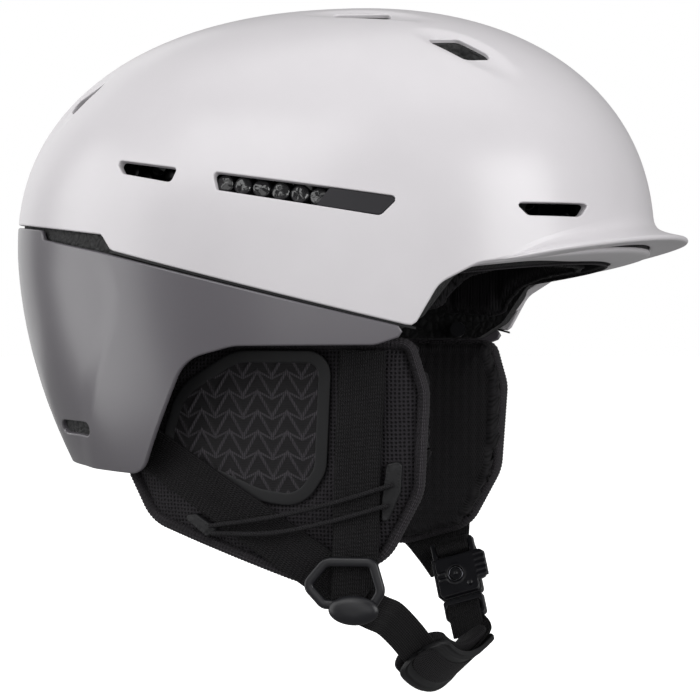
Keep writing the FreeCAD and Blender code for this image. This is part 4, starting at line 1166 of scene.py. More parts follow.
@dataclass
class Shells:
    """The white upper shell with its brim and vents, the grey lower shell, the seam strip and the badges."""

    wall: float = 2.2
    edge: float = 0.8
    vent_edge: float = 0.55
    vent_duct: float = 1.4
    coarse: float = 4.2
    fine: float = 1.5
    fine_reach: float = 11.0
    lowest_seed: float = -90.0
    reach: float = 0.0015
    brim: Brim = field(default_factory=Brim)
    upper: Outline = (
        (-190, 130), (-190, 18.2), (-69, 2.0), (-64.5, -4.4, 2), (60.5, -35.2, 3), (70, -18.5, 12),
        (84, -10.6, 12), (150, -2.0), (190, -2.0), (190, 130),
    )
    lower: Outline = (
        (-190, 17.0), (-104, 5.6, 1), (-102.5, 1.6, 1), (-66.5, -5.6, 3), (62.5, -36.6, 3), (46, -42.3, 10),
        (-10, -42.6, 25), (-31.5, -48, 18), (-56.5, -94.6, 10), (-118, -92.6, 9), (-126, -60), (-190, -60),
    )
    window: Outline = ((-18.5, 25.2, 1.5), (55.5, 14.2, 1.5), (48.5, 7.0, 2.5), (-16.5, 18.0, 1.5))
    rear_slot: Outline = ((-63.5, 32.0, 1.5), (-34.0, 27.2, 1.0), (-36.5, 21.6, 2.0), (-59.5, 26.2, 2.5))
    front_slot: Outline = ((96.5, 12.6, 1.0), (121.0, 13.4, 1.0), (118.5, 8.0, 2.0), (101.0, 7.8, 2.0))
    scoops: Outline = ((72, 61, 21, 8.5, 1.1), (28, 46, 27, 8, 1.2), (-96, 54, 17, 8, 1.0))
    low_slot: Outline = ((-105, -73.5, 2.6), (-83.5, -74.0, 2.6), (-83.0, -80.0, 2.6), (-104, -79.5, 2.6))
    top_front: Outline = ((55, -65, 2), (68, -56, 3), (84, -58, 2), (73, -68, 3))
    top_middle: Outline = ((12, -44, 2), (36, -41, 2), (39, -49, 3), (17, -53, 3))
    top_rear: Outline = ((-104, -47, 3), (-86, -53, 2), (-84, -61, 2), (-98, -58, 3))

    def vents(self) -> list[Array]:
        """Loops of the upper shell's openings, on the surface."""
        loops = []
        for side in Side:
            for outline in (self.window, self.rear_slot, self.front_slot):
                loops.append(side_loop(outline, side, self.vent_edge))
            for outline in (self.top_front, self.top_middle, self.top_rear):
                loops.append(top_loop(outline, side, self.vent_edge))
        return loops

    def seeds(self, near: list[Array]) -> Array:
        """Places for vertices: coarse all over, fine near the given loops."""
        gap = gap_to(np.concatenate(near))
        kept = []
        for spacing, is_fine in ((self.coarse, False), (self.fine, True)):
            points = sphere_seeds(spacing)
            points = FORM.to_surface(points[points[:, 2] > self.lowest_seed])
            kept.append(points[(gap(points) < self.fine_reach) == is_fine])
        return FORM.plane(np.concatenate(kept))

    def scoop(self, points: Array) -> Array:
        """Depth of the shallow scoops in front of the top vents, in millimetres."""
        sunk = np.zeros(len(points))
        for x, y, length, width, deep in self.scoops:
            dx = (points[:, 0] - x) / length
            dy = (np.abs(points[:, 1]) - y) / width
            sunk += deep * (1 - ease(np.sqrt(dx * dx + dy * dy), 0.45, 1.1)) * (points[:, 2] > 10)
        return sunk

    def upper_lift(self, places: Array) -> Array:
        """The upper shell's outer surface, with its scoops."""
        points = unfold(places)
        return points - FORM.normals(points) * self.scoop(points)[:, None]

    def lower_lift(self, places: Array) -> Array:
        """The lower shell's outer surface, with a soft ridge down each side behind the ear."""
        points = unfold(places)
        ridge_x = -63.0 - 24.0 * ease(-points[:, 2], 18.0, 92.0) - 10.0 * ease(points[:, 2], -24.0, 6.0)
        behind = ease(ridge_x - points[:, 0], -3.5, 7.0) * (1 - ease(ridge_x - points[:, 0], 7.0, 44.0))
        faded = 1 - ease(points[:, 2], -14.0, 0.0)
        sunk = 0.85 * behind * faded * ease(np.abs(points[:, 1]), 15.0, 45.0)
        return points - FORM.normals(points) * sunk[:, None]

    def upper_shell(self) -> Piece:
        """White upper shell."""
        loop = self.brim.raised(cut_line(self.upper, self.edge))
        vents = self.vents()
        holes = [FORM.plane(vent) for vent in vents]
        sheet = Sheet(self.upper_lift, FORM.plane(loop), self.seeds(vents), holes)

        def rim(points: Array, up: Array, outward: Array) -> Array:
            """The outer edge, with the brim at the front."""
            low = self.brim.lowered(points, self.edge)
            plain = edge_rows(low, up, outward, self.edge, self.wall, self.wall)
            return self.brim.edge(points, up, outward, plain, self.wall)

        parts = sheet.solid(self.wall, self.vent_edge, self.reach, {0: rim}, self.vent_duct, side_view)
        return parts.build("upper_shell_white", own_normals=True)

    def lower_shell(self) -> Piece:
        """Grey lower shell."""
        loop = cut_line(self.lower, self.edge)
        slots = [side_loop(self.low_slot, side, self.vent_edge) for side in Side]
        sheet = Sheet(self.lower_lift, FORM.plane(loop), self.seeds(slots), [FORM.plane(s) for s in slots])
        parts = sheet.solid(self.wall, self.edge, self.reach, None, self.vent_duct, side_view)
        return parts.build("lower_shell_grey", own_normals=True)

    def badge(self, side: Side) -> Piece:
        """Plain plate at the front of the side window, a little below the surface."""
        outline = ((29, 18.2, 0.5), (55.5, 14.2, 1.5), (48.5, 7.0, 2.5), (23.5, 11.0, 0.5))
        sunk = 0.5
        loop = grow_outline(rounded(outline, 0.6), -0.55)

        def lift(places: Array) -> Array:
            """The plate's face, to the right."""
            y = -(FORM.half_at(places[:, 0], places[:, 1]) - sunk)
            return np.stack([places[:, 0], y, places[:, 1]], axis=1)

        sheet = plane_sheet(lift, loop, 1.6)
        parts = sheet.solid(1.4, 0.3, 0.1).on(side)
        return parts.build("side_badge_plate_" + side.label, own_normals=side is Side.RIGHT)

    def build(self) -> None:
        """Builds and dresses the shells."""
        dress(self.upper_shell(), Finish.WHITE, Body.SHELL, ["upper_shell"])
        dress(self.lower_shell(), Finish.GREY, Body.SHELL, ["lower_shell"])
        carry_over("seam_gasket", Finish.RUBBER)
        for side in Side:
            dress(self.badge(side), Finish.BADGE, Body.SHELL, ["side_badge_" + side.label])


# --- liner
def pad_bulge(loop: Array, soft: float) -> Callable[[Array], Array]:
    """A function that rises smoothly from 0 at a loop in the plane to 1 at a distance inside it."""
    gap = gap_to(resample(loop, soft / 8, closed=True))
    return lambda places: np.sqrt(ease(gap(places), -0.35 * soft, soft))


def inward_pad(name: str, loop: Array, layer: tuple[float, float], channels: Callable[[Array], Array],
               spacing: float = 2.6) -> Piece:
    """Comfort pad on the inside of the form, crowned towards the head.

    Args:
        name: the piece's name.
        loop: its outline, as points round the form.
        layer: depths of its back and of its face.
        channels: depth of its sewn channels at points on the form's surface.
        spacing: distance between vertices.

    Returns:
        The object.
    """
    flip = np.array([-1.0, 1.0])
    flat = FORM.plane(loop) * flip
    bulge = pad_bulge(flat, 0.05)
    least = 0.35 * (layer[1] - layer[0])

    def lift(places: Array) -> Array:
        """The face of the pad towards the head."""
        points = unfold(places * flip)
        crown = (layer[1] - layer[0] - least) * bulge(places)
        return FORM.to_surface(points, layer[0] + least + crown - channels(points))

    seeds = FORM.plane(FORM.to_surface(sphere_seeds(spacing))) * flip
    sheet = Sheet(lift, flat, seeds, spacing=spacing * 0.7)
    parts = sheet.solid(least, 0.45 * least, 0.002, None, 0.0, lambda p: p[:, [0, 1]])
    made = parts.build(name, own_normals=True)
    return made


@dataclass
class Liner:
    """The foam liner, its insert of crushable cells and the comfort pads."""

    cell_out: float = 17.6
    cell_in: float = 27.5
    cell_size: float = 8.6
    cell_wall: float = 0.55
    pad_out: float = 28.3
    pad_in: float = 35.0
    lowest_cell: float = -27.0
    piping_radius: float = 0.65
    trim_end: float = -27.0
    lip_least: float = 4.5
    lip_front: float = 9.5
    shells: Shells = field(default_factory=Shells)

    def cell_insert(self) -> Piece:
        """Insert of round crushable cells that stand square to the head."""
        parts = MeshParts()
        spacing = self.cell_size * 1.05
        sides = 12
        for point in sphere_seeds(spacing, 96.0):
            centre = FORM.to_surface(point[None], self.cell_out)[0]
            low_edge = self.lowest_cell + 24.0 * float(ease(np.array(centre[0]), 58.0, 84.0))
            by_cradle = centre[0] < -58 and abs(centre[1]) < 32 and centre[2] < -10
            if by_cradle or centre[2] < low_edge + self.cell_size:
                continue
            axis, first, second = FORM.across(FORM.to_surface(point[None])[0], (0.31, 0.12, 0.94))
            t = turns(sides)
            ring = np.cos(t)[:, None] * first + np.sin(t)[:, None] * second
            outer, inner = self.cell_size / 2, self.cell_size / 2 - self.cell_wall
            deep = self.cell_in - self.cell_out
            middle = deep * 0.5
            rows = [(inner, 0.0), (outer, 0.0), (outer, middle), (outer, deep), (inner, deep), (inner, middle)]
            grid = np.array([centre + ring * radius - axis * down for radius, down in rows])
            parts.grid(grid, grid[:, :, [0, 2]], closed_u=True, closed_v=True)
        return parts.build("cell_insert", smooth=False)

    def window_cells(self, side: Side) -> Piece:
        """The row of cells seen through a side window, each with a crumpled face."""
        parts = MeshParts()
        count, radius, sides = 9, 4.0, 28
        rings = 10
        start, end = np.array([-17.5, 21.8]), np.array([53.0, 10.4])
        generator = np.random.default_rng(7)
        for k in range(count):
            x, z = start + (end - start) * (k + 0.35) / count
            y = -float(FORM.half_at(np.array(x), np.array(z)))
            centre = np.array([x, y, z])
            axis, first, second = FORM.across(centre, (0.15, 0.1, 1.0))
            t = turns(sides)
            folds = generator.uniform(0, 2 * math.pi, 3)
            rows = []
            for i in range(rings):
                share = i / (rings - 1)
                crumple = 0.55 * np.sin(2 * t + folds[0] + 2 * share)
                crumple = crumple + 0.30 * np.sin(3 * t + folds[1] - 3 * share)
                crumple += 0.14 * np.sin(7 * t + folds[2])
                dome = 2.6 + 1.9 * math.sqrt(1 - share ** 2.4) + crumple * share * (1 - share ** 4)
                flat = np.cos(t)[:, None] * first + np.sin(t)[:, None] * second
                rows.append(centre + flat * (radius * (0.02 + 0.98 * share)) - axis * (7.4 - dome)[:, None])
            rows.append(rows[-1] - axis * 7.5)
            grid = np.array(rows)
            parts.rod(grid, grid[:, :, [0, 2]], flip=True)
        return parts.on(side).build("window_cells_" + side.label + "_crumpled")

    def front_edge(self) -> Array:
        """The shell's lower edge from the right temple round the front to the left one."""
        loop = cut_line(self.shells.upper, 0.0, 2.5)
        x, y, z = loop.T
        right = loop[(y <= 0) & (x > 60.0) & (z < 5) & (z > self.trim_end)]
        left = right[:0:-1] * MIRROR
        return np.vstack([left, right])

    def set_back(self, line: Array) -> Array:
        """How far in from the shell's edge the trim starts: furthest behind the brim."""
        return self.lip_least + self.lip_front * ease(self.shells.brim.fade(line), 0.3, 0.85)

    def at_depth(self, line: Array, depth: Array, drop: Array) -> Array:
        """A line on the surface, taken down by a drop and in to a depth."""
        moved = line - np.array([0.0, 0.0, 1.0]) * np.reshape(drop, (-1, 1))
        return FORM.to_surface(moved, depth)

    def along_edge(self, name: str, rows: list[Array]) -> Piece:
        """Closed strip whose section goes through rows of points along the edge."""
        grid = np.array(rows).transpose(1, 0, 2)
        run = np.cumsum(np.linalg.norm(np.diff(grid[:, 3], axis=0, prepend=grid[:1, 3]), axis=1))
        uv = np.stack(np.meshgrid(run, np.arange(grid.shape[1]) * 3.5, indexing="ij"), axis=2)
        parts = MeshParts()
        parts.rod(grid, uv)
        made = parts.build(name)
        smooth = made.modifiers.new("smooth", "SUBSURF")
        smooth.levels = smooth.render_levels = 1
        return made

    def edge_trim(self) -> Piece:
        """Fabric strip under the foam's lower edge, from temple to temple."""
        line = self.front_edge()
        back = self.set_back(line)
        section = (
            (3.2, -4.0), (3.4, -1.2), (5.2, 0.4), (9.0, 2.6), (14.0, 4.4), (18.5, 5.6), (21.5, 5.4), (22.6, 3.0),
            (22.6, -6.0), (20.6, -6.0), (17.5, 2.4), (12.0, 1.0), (6.5, -1.6), (4.4, -4.0),
        )
        rows = []
        for depth, drop in section:
            sunk = depth + back * (22.6 - depth) / 19.4
            rows.append(self.at_depth(line, sunk, drop + 0.2 * (sunk - depth) * (drop > -2)))
        return self.along_edge("brow_edge_trim", rows)

    def lip(self) -> Piece:
        """White lip inside the shell's edge, widest under the brim."""
        line = self.front_edge()
        reach = self.set_back(line) + 2.5
        section = (
            (0.0, -1.8), (0.0, 0.0), (0.08, 0.9), (0.35, 1.1), (0.7, 1.1), (1.0, 0.9), (1.03, 0.2), (1.0, -0.6),
            (0.6, -0.5), (0.3, -0.6), (0.12, -1.8),
        )
        rows = []
        for share, lower in section:
            depth = 1.7 + reach * share
            rows.append(self.at_depth(line, depth, 0.30 * np.maximum(depth - 3.5, 0.0) + lower))
        return self.along_edge("brim_inner_lip", rows)

    def piping(self) -> Piece:
        """Thin cord sewn along the lower edge of the trim."""
        line = resample(self.at_depth(self.front_edge(), 20.2, 6.1), 1.2)
        section = ellipse_section(self.piping_radius, self.piping_radius, 10)
        return sweep(line, np.array([0.0, 0.0, -1.0]), lambda k, run: section).build("brow_piping")

    def brow_pad(self) -> Piece:
        """Brow pad, sewn into channels from temple to temple."""
        outline = ((34, 20, 4), (34, -26, 4), (62, -29, 8), (75, -15, 10), (88, -10.5, 10), (190, -3), (190, 24),
                   (110, 20))
        loop = cut_line(outline, 0.0, 2.2, self.pad_out)

        def channels(points: Array) -> Array:
            """Sewn lines about every 34 mm round the brow."""
            lean = np.degrees(np.arctan2(points[:, 1], points[:, 0] - FORM.centre_x))
            gap = np.abs((lean / 17.0 + 0.5) % 1.0 - 0.5) * 17.0
            return 1.6 * (1 - ease(gap, 0.0, 2.4))

        return inward_pad("brow_pad_sewn", loop, (self.pad_out, self.pad_in), channels)

    def crown_pad(self) -> Piece:
        """Crown pad with sewn channels that run front to back."""
        outline = ((-60, -20, 14), (-30, -42, 16), (45, -38, 16), (64, -18, 12), (64, 18, 12), (45, 38, 16),
                   (-30, 42, 16), (-60, 20, 14))
        loop = top_loop(outline, Side.RIGHT)

        def channels(points: Array) -> Array:
            """Two long sewn lines and three across."""
            long = np.abs(np.abs(points[:, 1]) - 15.0)
            cross = np.abs((points[:, 0] / 34.0 + 0.5) % 1.0 - 0.5) * 34.0
            return 1.5 * (1 - ease(np.minimum(long, cross), 0.0, 2.2))

        return inward_pad("crown_pad_sewn", loop, (self.pad_out, self.pad_in), channels)

    def build(self) -> None:
        """Builds and dresses the liner."""
        carry_over("foam_liner", Finish.FOAM, 0.8)
        dress(self.cell_insert(), Finish.CELLS, Body.SHELL, ["cell_liner"])
        for side in Side:
            dress(self.window_cells(side), Finish.CELLS, Body.SHELL, ["window_cells_" + side.label])
        dress(self.crown_pad(), Finish.PAD, Body.SHELL, ["crown_pad"])
        dress(self.brow_pad(), Finish.PAD, Body.SHELL, ["brow_pad"])
        dress(self.edge_trim(), Finish.PAD, Body.SHELL)
        dress(self.lip(), Finish.WHITE, Body.SHELL)
        dress(self.piping(), Finish.BINDING, Body.SHELL)
        carry_over("strap_anchors", Finish.BUCKLE, 0.3)


# --- ear pads
@dataclass(frozen=True)
class PadSpace:
    """The curved, leaning space of the right ear pad: places in side view and a distance from the middle."""

    curve: float = 260.0
    curve_x: float = 25.0
    tilt: float = math.radians(3.0)
    top_z: float = -39.5
    hinge_y: float = 84.0
    plain_y: float = 90.2

    def lift(self, places: Array, y: float | Array) -> Array:
        """Points over the pad."""
        aside = places[:, 0] - self.curve_x
        bent = np.sqrt((self.curve + y - self.plain_y) ** 2 - aside ** 2) - self.curve + self.plain_y
        dy = self.hinge_y - bent
        dz = places[:, 1] - self.top_z
        c, s = math.cos(self.tilt), math.sin(self.tilt)
        return np.stack([places[:, 0], dy * c - dz * s - self.hinge_y, self.top_z + dy * s + dz * c], axis=1)

    def point(self, x: float, z: float, y: float) -> Array:
        """One point over the pad."""
        return self.lift(np.array([[x, z]], float), y)[0]

    def facing(self, places: Array, y: float) -> Array:
        """Outward directions over the pad."""
        return unit(self.lift(places, y + 1.0) - self.lift(places, y))


PAD = PadSpace()
PAD_OUTLINE: Outline = (
    (-52, -39.5, 14), (56, -39.5, 7), (62, -60, 20), (59.5, -100, 22), (45, -127, 18), (12, -136.5, 20),
    (-56, -114.5, 18), (-68, -93, 12), (-60, -60, 20),
)
PANEL_OUTLINE: Outline = (
    (-15, -48.5, 20), (20, -48.5, 5), (17.5, -90, 10), (10, -101, 10), (-6, -99, 20), (-46, -83.5, 7), (-38, -62, 20),
)


@dataclass
class EarPad:
    """One ear pad: cushion, mesh cover, ribbed binding, zigzag panel in its rubber frame, tabs and cords."""

    side: Side
    core_in: float = 72.0
    cover_in: float = 84.2
    face: float = 90.4
    binding_width: float = 4.6
    binding_half_wall: float = 4.2
    rib_pitch: float = 1.5
    rib_height: float = 0.13
    frame_width: float = 4.5
    panel_pitch: tuple[float, float] = (12.5, 8.0)
    zigzag: float = 8.5
    cord_y: float = 95.75
    tab_y: float = 93.4
    cord_radius: float = 0.95

    def name(self, words: str) -> str:
        """A piece's name with its side."""
        return words + "_" + self.side.label

    def finished(self, words: str, parts: MeshParts, own_normals: bool = False) -> Piece:
        """A piece of this side from parts drawn on the right."""
        return parts.on(self.side).build(self.name(words), own_normals=own_normals and self.side is Side.RIGHT)

    def cover(self) -> Piece:
        """Mesh cover, crowned inside its binding and pressed in round the panel's frame."""
        loop = grow_outline(rounded(PAD_OUTLINE, 2.0), -3.0)
        bulge = pad_bulge(loop, 11.0)
        frame_line = resample(grow_outline(rounded(PANEL_OUTLINE, 1.0), self.frame_width), 1.0, closed=True)
        near = gap_to(frame_line)

        def lift(places: Array) -> Array:
            """The cover's face."""
            gap = near(places)
            gap[inside(frame_line, places)] = 0.0
            pressed = 0.9 * (1 - ease(gap, 0.0, 4.0)) + 0.5
            wrinkle = 0.22 * np.sin(places[:, 0] * 0.31 + 0.8 * np.sin(places[:, 1] * 0.13))
            y = self.cover_in + 2.4 + 4.6 * bulge(places) - pressed + wrinkle
            return PAD.lift(places, y)

        made = self.finished("ear_pad_mesh", plane_sheet(lift, loop, 2.2).solid(1.0, 0.5, 0.2), own_normals=True)
        return made

    def binding(self) -> Piece:
        """Rolled edge binding with fine cross ribs."""
        inner = grow_outline(rounded(PAD_OUTLINE, 0.5), -self.binding_width / 2 + 0.4)
        flat = resample(inner, 0.375, closed=True)
        middle = self.cover_in + 2.2
        path = PAD.lift(flat, middle)
        up = PAD.lift(grow_outline(flat, 1.0), middle) - path

        def section(k: int, run: float) -> Array:
            """The roll, fuller on each rib."""
            swell = self.rib_height * math.cos(2 * math.pi * run / self.rib_pitch)
            return ellipse_section(self.binding_half_wall + swell, self.binding_width / 2 + swell, 20, 2.6)

        return self.finished("ear_pad_ribbed_binding", sweep(path, up, section, closed=True))

    def cushion(self) -> Piece:
        """Inner cushion in waffle knit, crowned towards the ear."""
        flip = np.array([-1.0, 1.0])
        loop = grow_outline(rounded(PAD_OUTLINE, 1.6), -5.6)
        bulge = pad_bulge(loop, 16.0)

        def lift(places: Array) -> Array:
            """The cushion's face towards the ear."""
            flat = places * flip
            waffle = np.abs(np.sin(math.pi * flat[:, 0] / 4.2)) * np.abs(np.sin(math.pi * flat[:, 1] / 4.2))
            hollow = 3.2 * (1 - ease(np.hypot(flat[:, 0] + 4, flat[:, 1] + 78), 12.0, 32.0))
            y = self.core_in + 4.0 - 4.6 * bulge(flat) - 0.5 * waffle ** 0.6 + hollow
            return PAD.lift(flat, y)

        parts = plane_sheet(lift, loop * flip, 1.05).solid(8.0, 3.4, 0.15)
        made = self.finished("ear_cushion", parts, own_normals=True)
        return made

    def panel(self) -> Piece:
        """Panel over the ear with raised zigzag ribs."""
        loop = grow_outline(rounded(PANEL_OUTLINE, 0.8), 0.4)
        bulge = pad_bulge(loop, 14.0)
        across, down = self.panel_pitch

        def lift(places: Array) -> Array:
            """The panel's face, with its ribs."""
            wave = np.abs((places[:, 0] / across) % 1.0 - 0.5) * 2
            phase = ((places[:, 1] + self.zigzag * wave) / down) % 1.0
            rib = np.exp(-((phase - 0.5) / 0.12) ** 2)
            y = self.face + 0.1 + 0.9 * bulge(places) + 0.35 * rib
            return PAD.lift(places, y)

        return self.finished("ear_panel_zigzag", plane_sheet(lift, loop, 0.62).solid(0.7, 0.2, 0.1), own_normals=True)

    def panel_frame(self) -> Piece:
        """Rubber frame round the panel."""
        flat = grow_outline(rounded(PANEL_OUTLINE, 0.8), self.frame_width / 2)
        path = PAD.lift(flat, self.face + 0.4)
        up = PAD.facing(flat, self.face)
        section = ellipse_section(self.frame_width / 2 + 0.25, 0.55, 24, 4.5)
        return self.finished("ear_panel_frame", sweep(path, up, lambda k, run: section, closed=True))

    def tabs(self) -> Piece:
        """Rubber tabs that hold the cords' ends."""
        front = ((47, -88, 1.5), (53, -86.5, 2), (52, -99, 4), (47, -110, 2), (44.6, -110, 1), (44.8, -102, 2))
        rear = ((-40, -110.8, 1.5), (-34, -109.8, 1.5), (-24, -115.6, 1.5), (-29, -118.6, 1.5))
        parts = MeshParts()
        for outline in (front, rear):
            loop = grow_outline(rounded(outline, 0.5), -0.5)
            height = pad_bulge(loop, 2.5)
            sheet = plane_sheet(lambda p, h=height: PAD.lift(p, self.tab_y + 0.9 * h(p)), loop, 1.2)
            parts.merge(sheet.solid(3.2, 0.6, 0.1))
        return self.finished("cord_tabs_moulded", parts, own_normals=True)

    def cords(self) -> Piece:
        """Two braided elastic cords over the straps."""
        upper = ((50, -95.5), (26, -103), (2, -109), (-27, -114))
        lower = ((48, -103.5), (24, -110.5), (0, -115.6), (-26, -116.8))
        parts = MeshParts()
        turn = turns(18)
        for route in (upper, lower):
            path = spline([PAD.point(x, z, self.cord_y) for x, z in route], 0.35)

            def section(k: int, run: float) -> Array:
                """Round section with the braid's strands standing out."""
                strand = np.abs(np.sin(3 * turn + run * 1.5)) + np.abs(np.sin(3 * turn - run * 1.5))
                radius = self.cord_radius * (0.90 + 0.075 * strand)
                return np.stack([radius * np.cos(turn), radius * np.sin(turn)], axis=1)

            parts.merge(sweep(path, OUTWARD, section))
        return self.finished("elastic_cords_braided", parts)

    def build(self) -> None:
        """Builds and dresses the pad."""
        pieces = (
            (self.cushion, Finish.WAFFLE, "ear_pad_inner"), (self.cover, Finish.MESH, "ear_pad_cover"),
            (self.binding, Finish.BINDING, "ear_pad_binding"), (self.panel, Finish.CHEVRON, "ear_window_panel"),
            (self.panel_frame, Finish.RUBBER, "ear_window_frame"), (self.tabs, Finish.RUBBER, "cord_tabs"),
            (self.cords, Finish.CORD, "elastic_cords"),
        )
        for make, finish, node in pieces:
            dress(make(), finish, Body.SHELL, [self.name(node)])


# --- straps
@dataclass
class Webbing:
    """Flat woven webbing along stations, with raised cross ribs in bands between plain lines."""

    width: float
    wall: float = 1.3
    bands: int = 3
    rib_pitch: float = 1.8
    rib_height: float = 0.26
    step: float = 0.42

    def relief(self, run: float, across: Array) -> Array:
        """Height of the weave at a distance along, and places across."""
        share = (across / self.width + 0.5) * self.bands
        band = np.clip(np.floor(share), 0, self.bands - 1)
        gap = np.minimum(share - band, band + 1 - share) * self.width / self.bands
        rib = 0.5 + 0.5 * np.cos(2 * math.pi * (run / self.rib_pitch + 0.5 * band))
        return self.rib_height * (0.25 + 0.75 * rib) * ease(gap, 0.05, 0.8)

    def along(self, stations: Sequence[Station], narrow: Callable[[float], float] = lambda run: 1.0) -> MeshParts:
        """The webbing's mesh.

        Args:
            stations: points of its middle line, each with its direction across.
            narrow: share of the full width at a distance along.

        Returns:
            The mesh parts.
        """
        joined = np.array([np.concatenate([centre, unit(across) * 6.0]) for centre, across in stations])
        dense = spline(joined, self.step)
        path, across = dense[:, :3], unit(dense[:, 3:])
        up = unit(np.cross(np.gradient(path, axis=0), across))
        half = self.width / 2
        even = np.linspace(1, -1, 39)
        front = half * np.sin(even * math.pi / 2) * 0.35 + half * even * 0.65
        back = front[::-1][1:-1:2]

        def section(k: int, run: float) -> Array:
            """The webbing's section."""
            rows = []
            for line, facing in ((front, 1.0), (back, -1.0)):
                thick = self.wall / 2 * (1 - np.abs(line / half) ** 14) ** 0.4
                rise = thick + self.relief(run, line) * (np.abs(line) < half * 0.97)
                rows.append(np.stack([line * narrow(run), facing * rise], axis=1))
            return np.vstack(rows)

        return sweep(path, up, section)


CHIN_RIGHT = np.array([41.0, -80.0, -146.5])
CHIN_LEFT = np.array([44.0, 47.0, -134.0])
SWING_AXIS = unit(CHIN_LEFT - CHIN_RIGHT)


@dataclass(frozen=True)
class BuckleSpace:
    """The buckle's own directions: across, out of its face, and down along the strap, from its bar."""

    down: Array = field(default_factory=lambda: unit(np.array([10.0, -13.5, -32.5])))
    leaning: Array = field(default_factory=lambda: np.array([0.965, 0.0, 0.26]))

    def axes(self) -> Array:
        """Across, out and down, as rows."""
        across = unit(self.leaning - self.down * (self.leaning @ self.down))
        return np.array([across, np.cross(self.down, across), self.down])

    def place(self, x: Array, y: Array, z: Array) -> Array:
        """Points given across, out of and down the buckle."""
        local = np.stack(np.broadcast_arrays(x, y, z), axis=-1).astype(float)
        return CHIN_LEFT + local @ self.axes()


BUCKLE = BuckleSpace()


@dataclass
class Straps:
    """The front and rear strap of one side."""

    side: Side
    width: float = 18.5
    front_y: float = 93.75
    rear_y: float = 92.25

    def over_pad(self, route: Sequence[tuple[float, float]], y: float, across: tuple[float, float]) -> list[Station]:
        """Stations over the right ear pad."""
        made = []
        for k, (x, z) in enumerate(route):
            spots = [(x, z)]
            if k + 1 < len(route):
                spots.append(((x + route[k + 1][0]) / 2, (z + route[k + 1][1]) / 2))
            for px, pz in spots:
                centre = PAD.point(px, pz, y)
                made.append((centre, PAD.point(px + across[0], pz + across[1], y) - centre))
        return made

    def to_left(self, stations: Sequence[Station]) -> list[Station]:
        """The same stations on the left pad."""
        return [(centre * MIRROR, across * MIRROR) for centre, across in stations]

    def front(self) -> MeshParts:
        """Front strap: on the left it goes on round the buckle's bar."""
        route = [(38, -43.5), (37, -64), (35.3, -90), (34.3, -118), (34, -128), (33.5, -136.5)]
        stations = self.over_pad(route, self.front_y, (1.0, -0.03))
        if self.side is Side.RIGHT:
            stations.append((PAD.point(33.2, -147.0, self.front_y + 0.5), stations[-1][1]))
            return Webbing(self.width).along(stations)
        stations = self.to_left(stations)
        stations.append((CHIN_LEFT + np.array([-4, 26, -6.5]), np.array([1.0, 0, 0])))
        stations.append((CHIN_LEFT + np.array([0, 7.5, 1.6]), np.array([1.0, 0, 0.2])))
        bar = BUCKLE.axes()[0]
        for y, z in ((-2.7, -0.6), (-1.0, 2.7), (2.0, 2.1), (2.7, -0.9), (0.4, -3.2), (-4.4, -5.4)):
            stations.append((BUCKLE.place(0, y, z), bar))
        length = sum(np.linalg.norm(b[0] - a[0]) for a, b in zip(stations, stations[1:]))

        def narrow(run: float) -> float:
            """Share of the full width: less where it goes round the bar."""
            return 1 - 0.2 * float(ease(np.array(run), length - 34, length - 22))

        return Webbing(self.width).along(stations, narrow)

    def rear(self) -> MeshParts:
        """Rear strap, along the foot of the pad."""
        route = [(-62, -81), (-50, -87.5), (-37, -95), (-8, -112.7), (17.5, -129)]
        stations = self.over_pad(route, self.rear_y, (0.53, 0.85))
        if self.side is Side.RIGHT:
            stations.append((PAD.point(24, -133.2, self.rear_y), stations[-1][1]))
            foot = PAD.point(28, -139.0, self.rear_y)
            stations.append((foot, PAD.point(28.7, -138.2, self.rear_y) - foot))
            return Webbing(self.width).along(stations)
        stations.append((PAD.point(26, -138.5, self.rear_y), np.array([0.75, 0, 0.66])))
        stations.append((PAD.point(32, -146.0, self.rear_y), np.array([0.9, 0, 0.4])))
        stations = self.to_left(stations)
        stations.append((CHIN_LEFT + np.array([-6, 26, -10.5]), np.array([1.0, 0, 0.1])))
        stations.append((CHIN_LEFT + np.array([-1, 7.5, -0.4]), np.array([1.0, 0, 0.2])))
        return Webbing(self.width).along(stations)

    def build(self) -> None:
        """Builds and dresses both straps; the left ones get no body, and their transforms are baked into their meshes.
        """
        for words, parts in (("front_strap", self.front()), ("rear_strap", self.rear())):
            made = parts.build(words + "_woven_" + self.side.label)
            crossing = self.side is Side.LEFT
            dress(made, Finish.WEBBING, None if crossing else Body.SHELL, [words + "_" + self.side.label])
            if crossing:
                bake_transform(made)


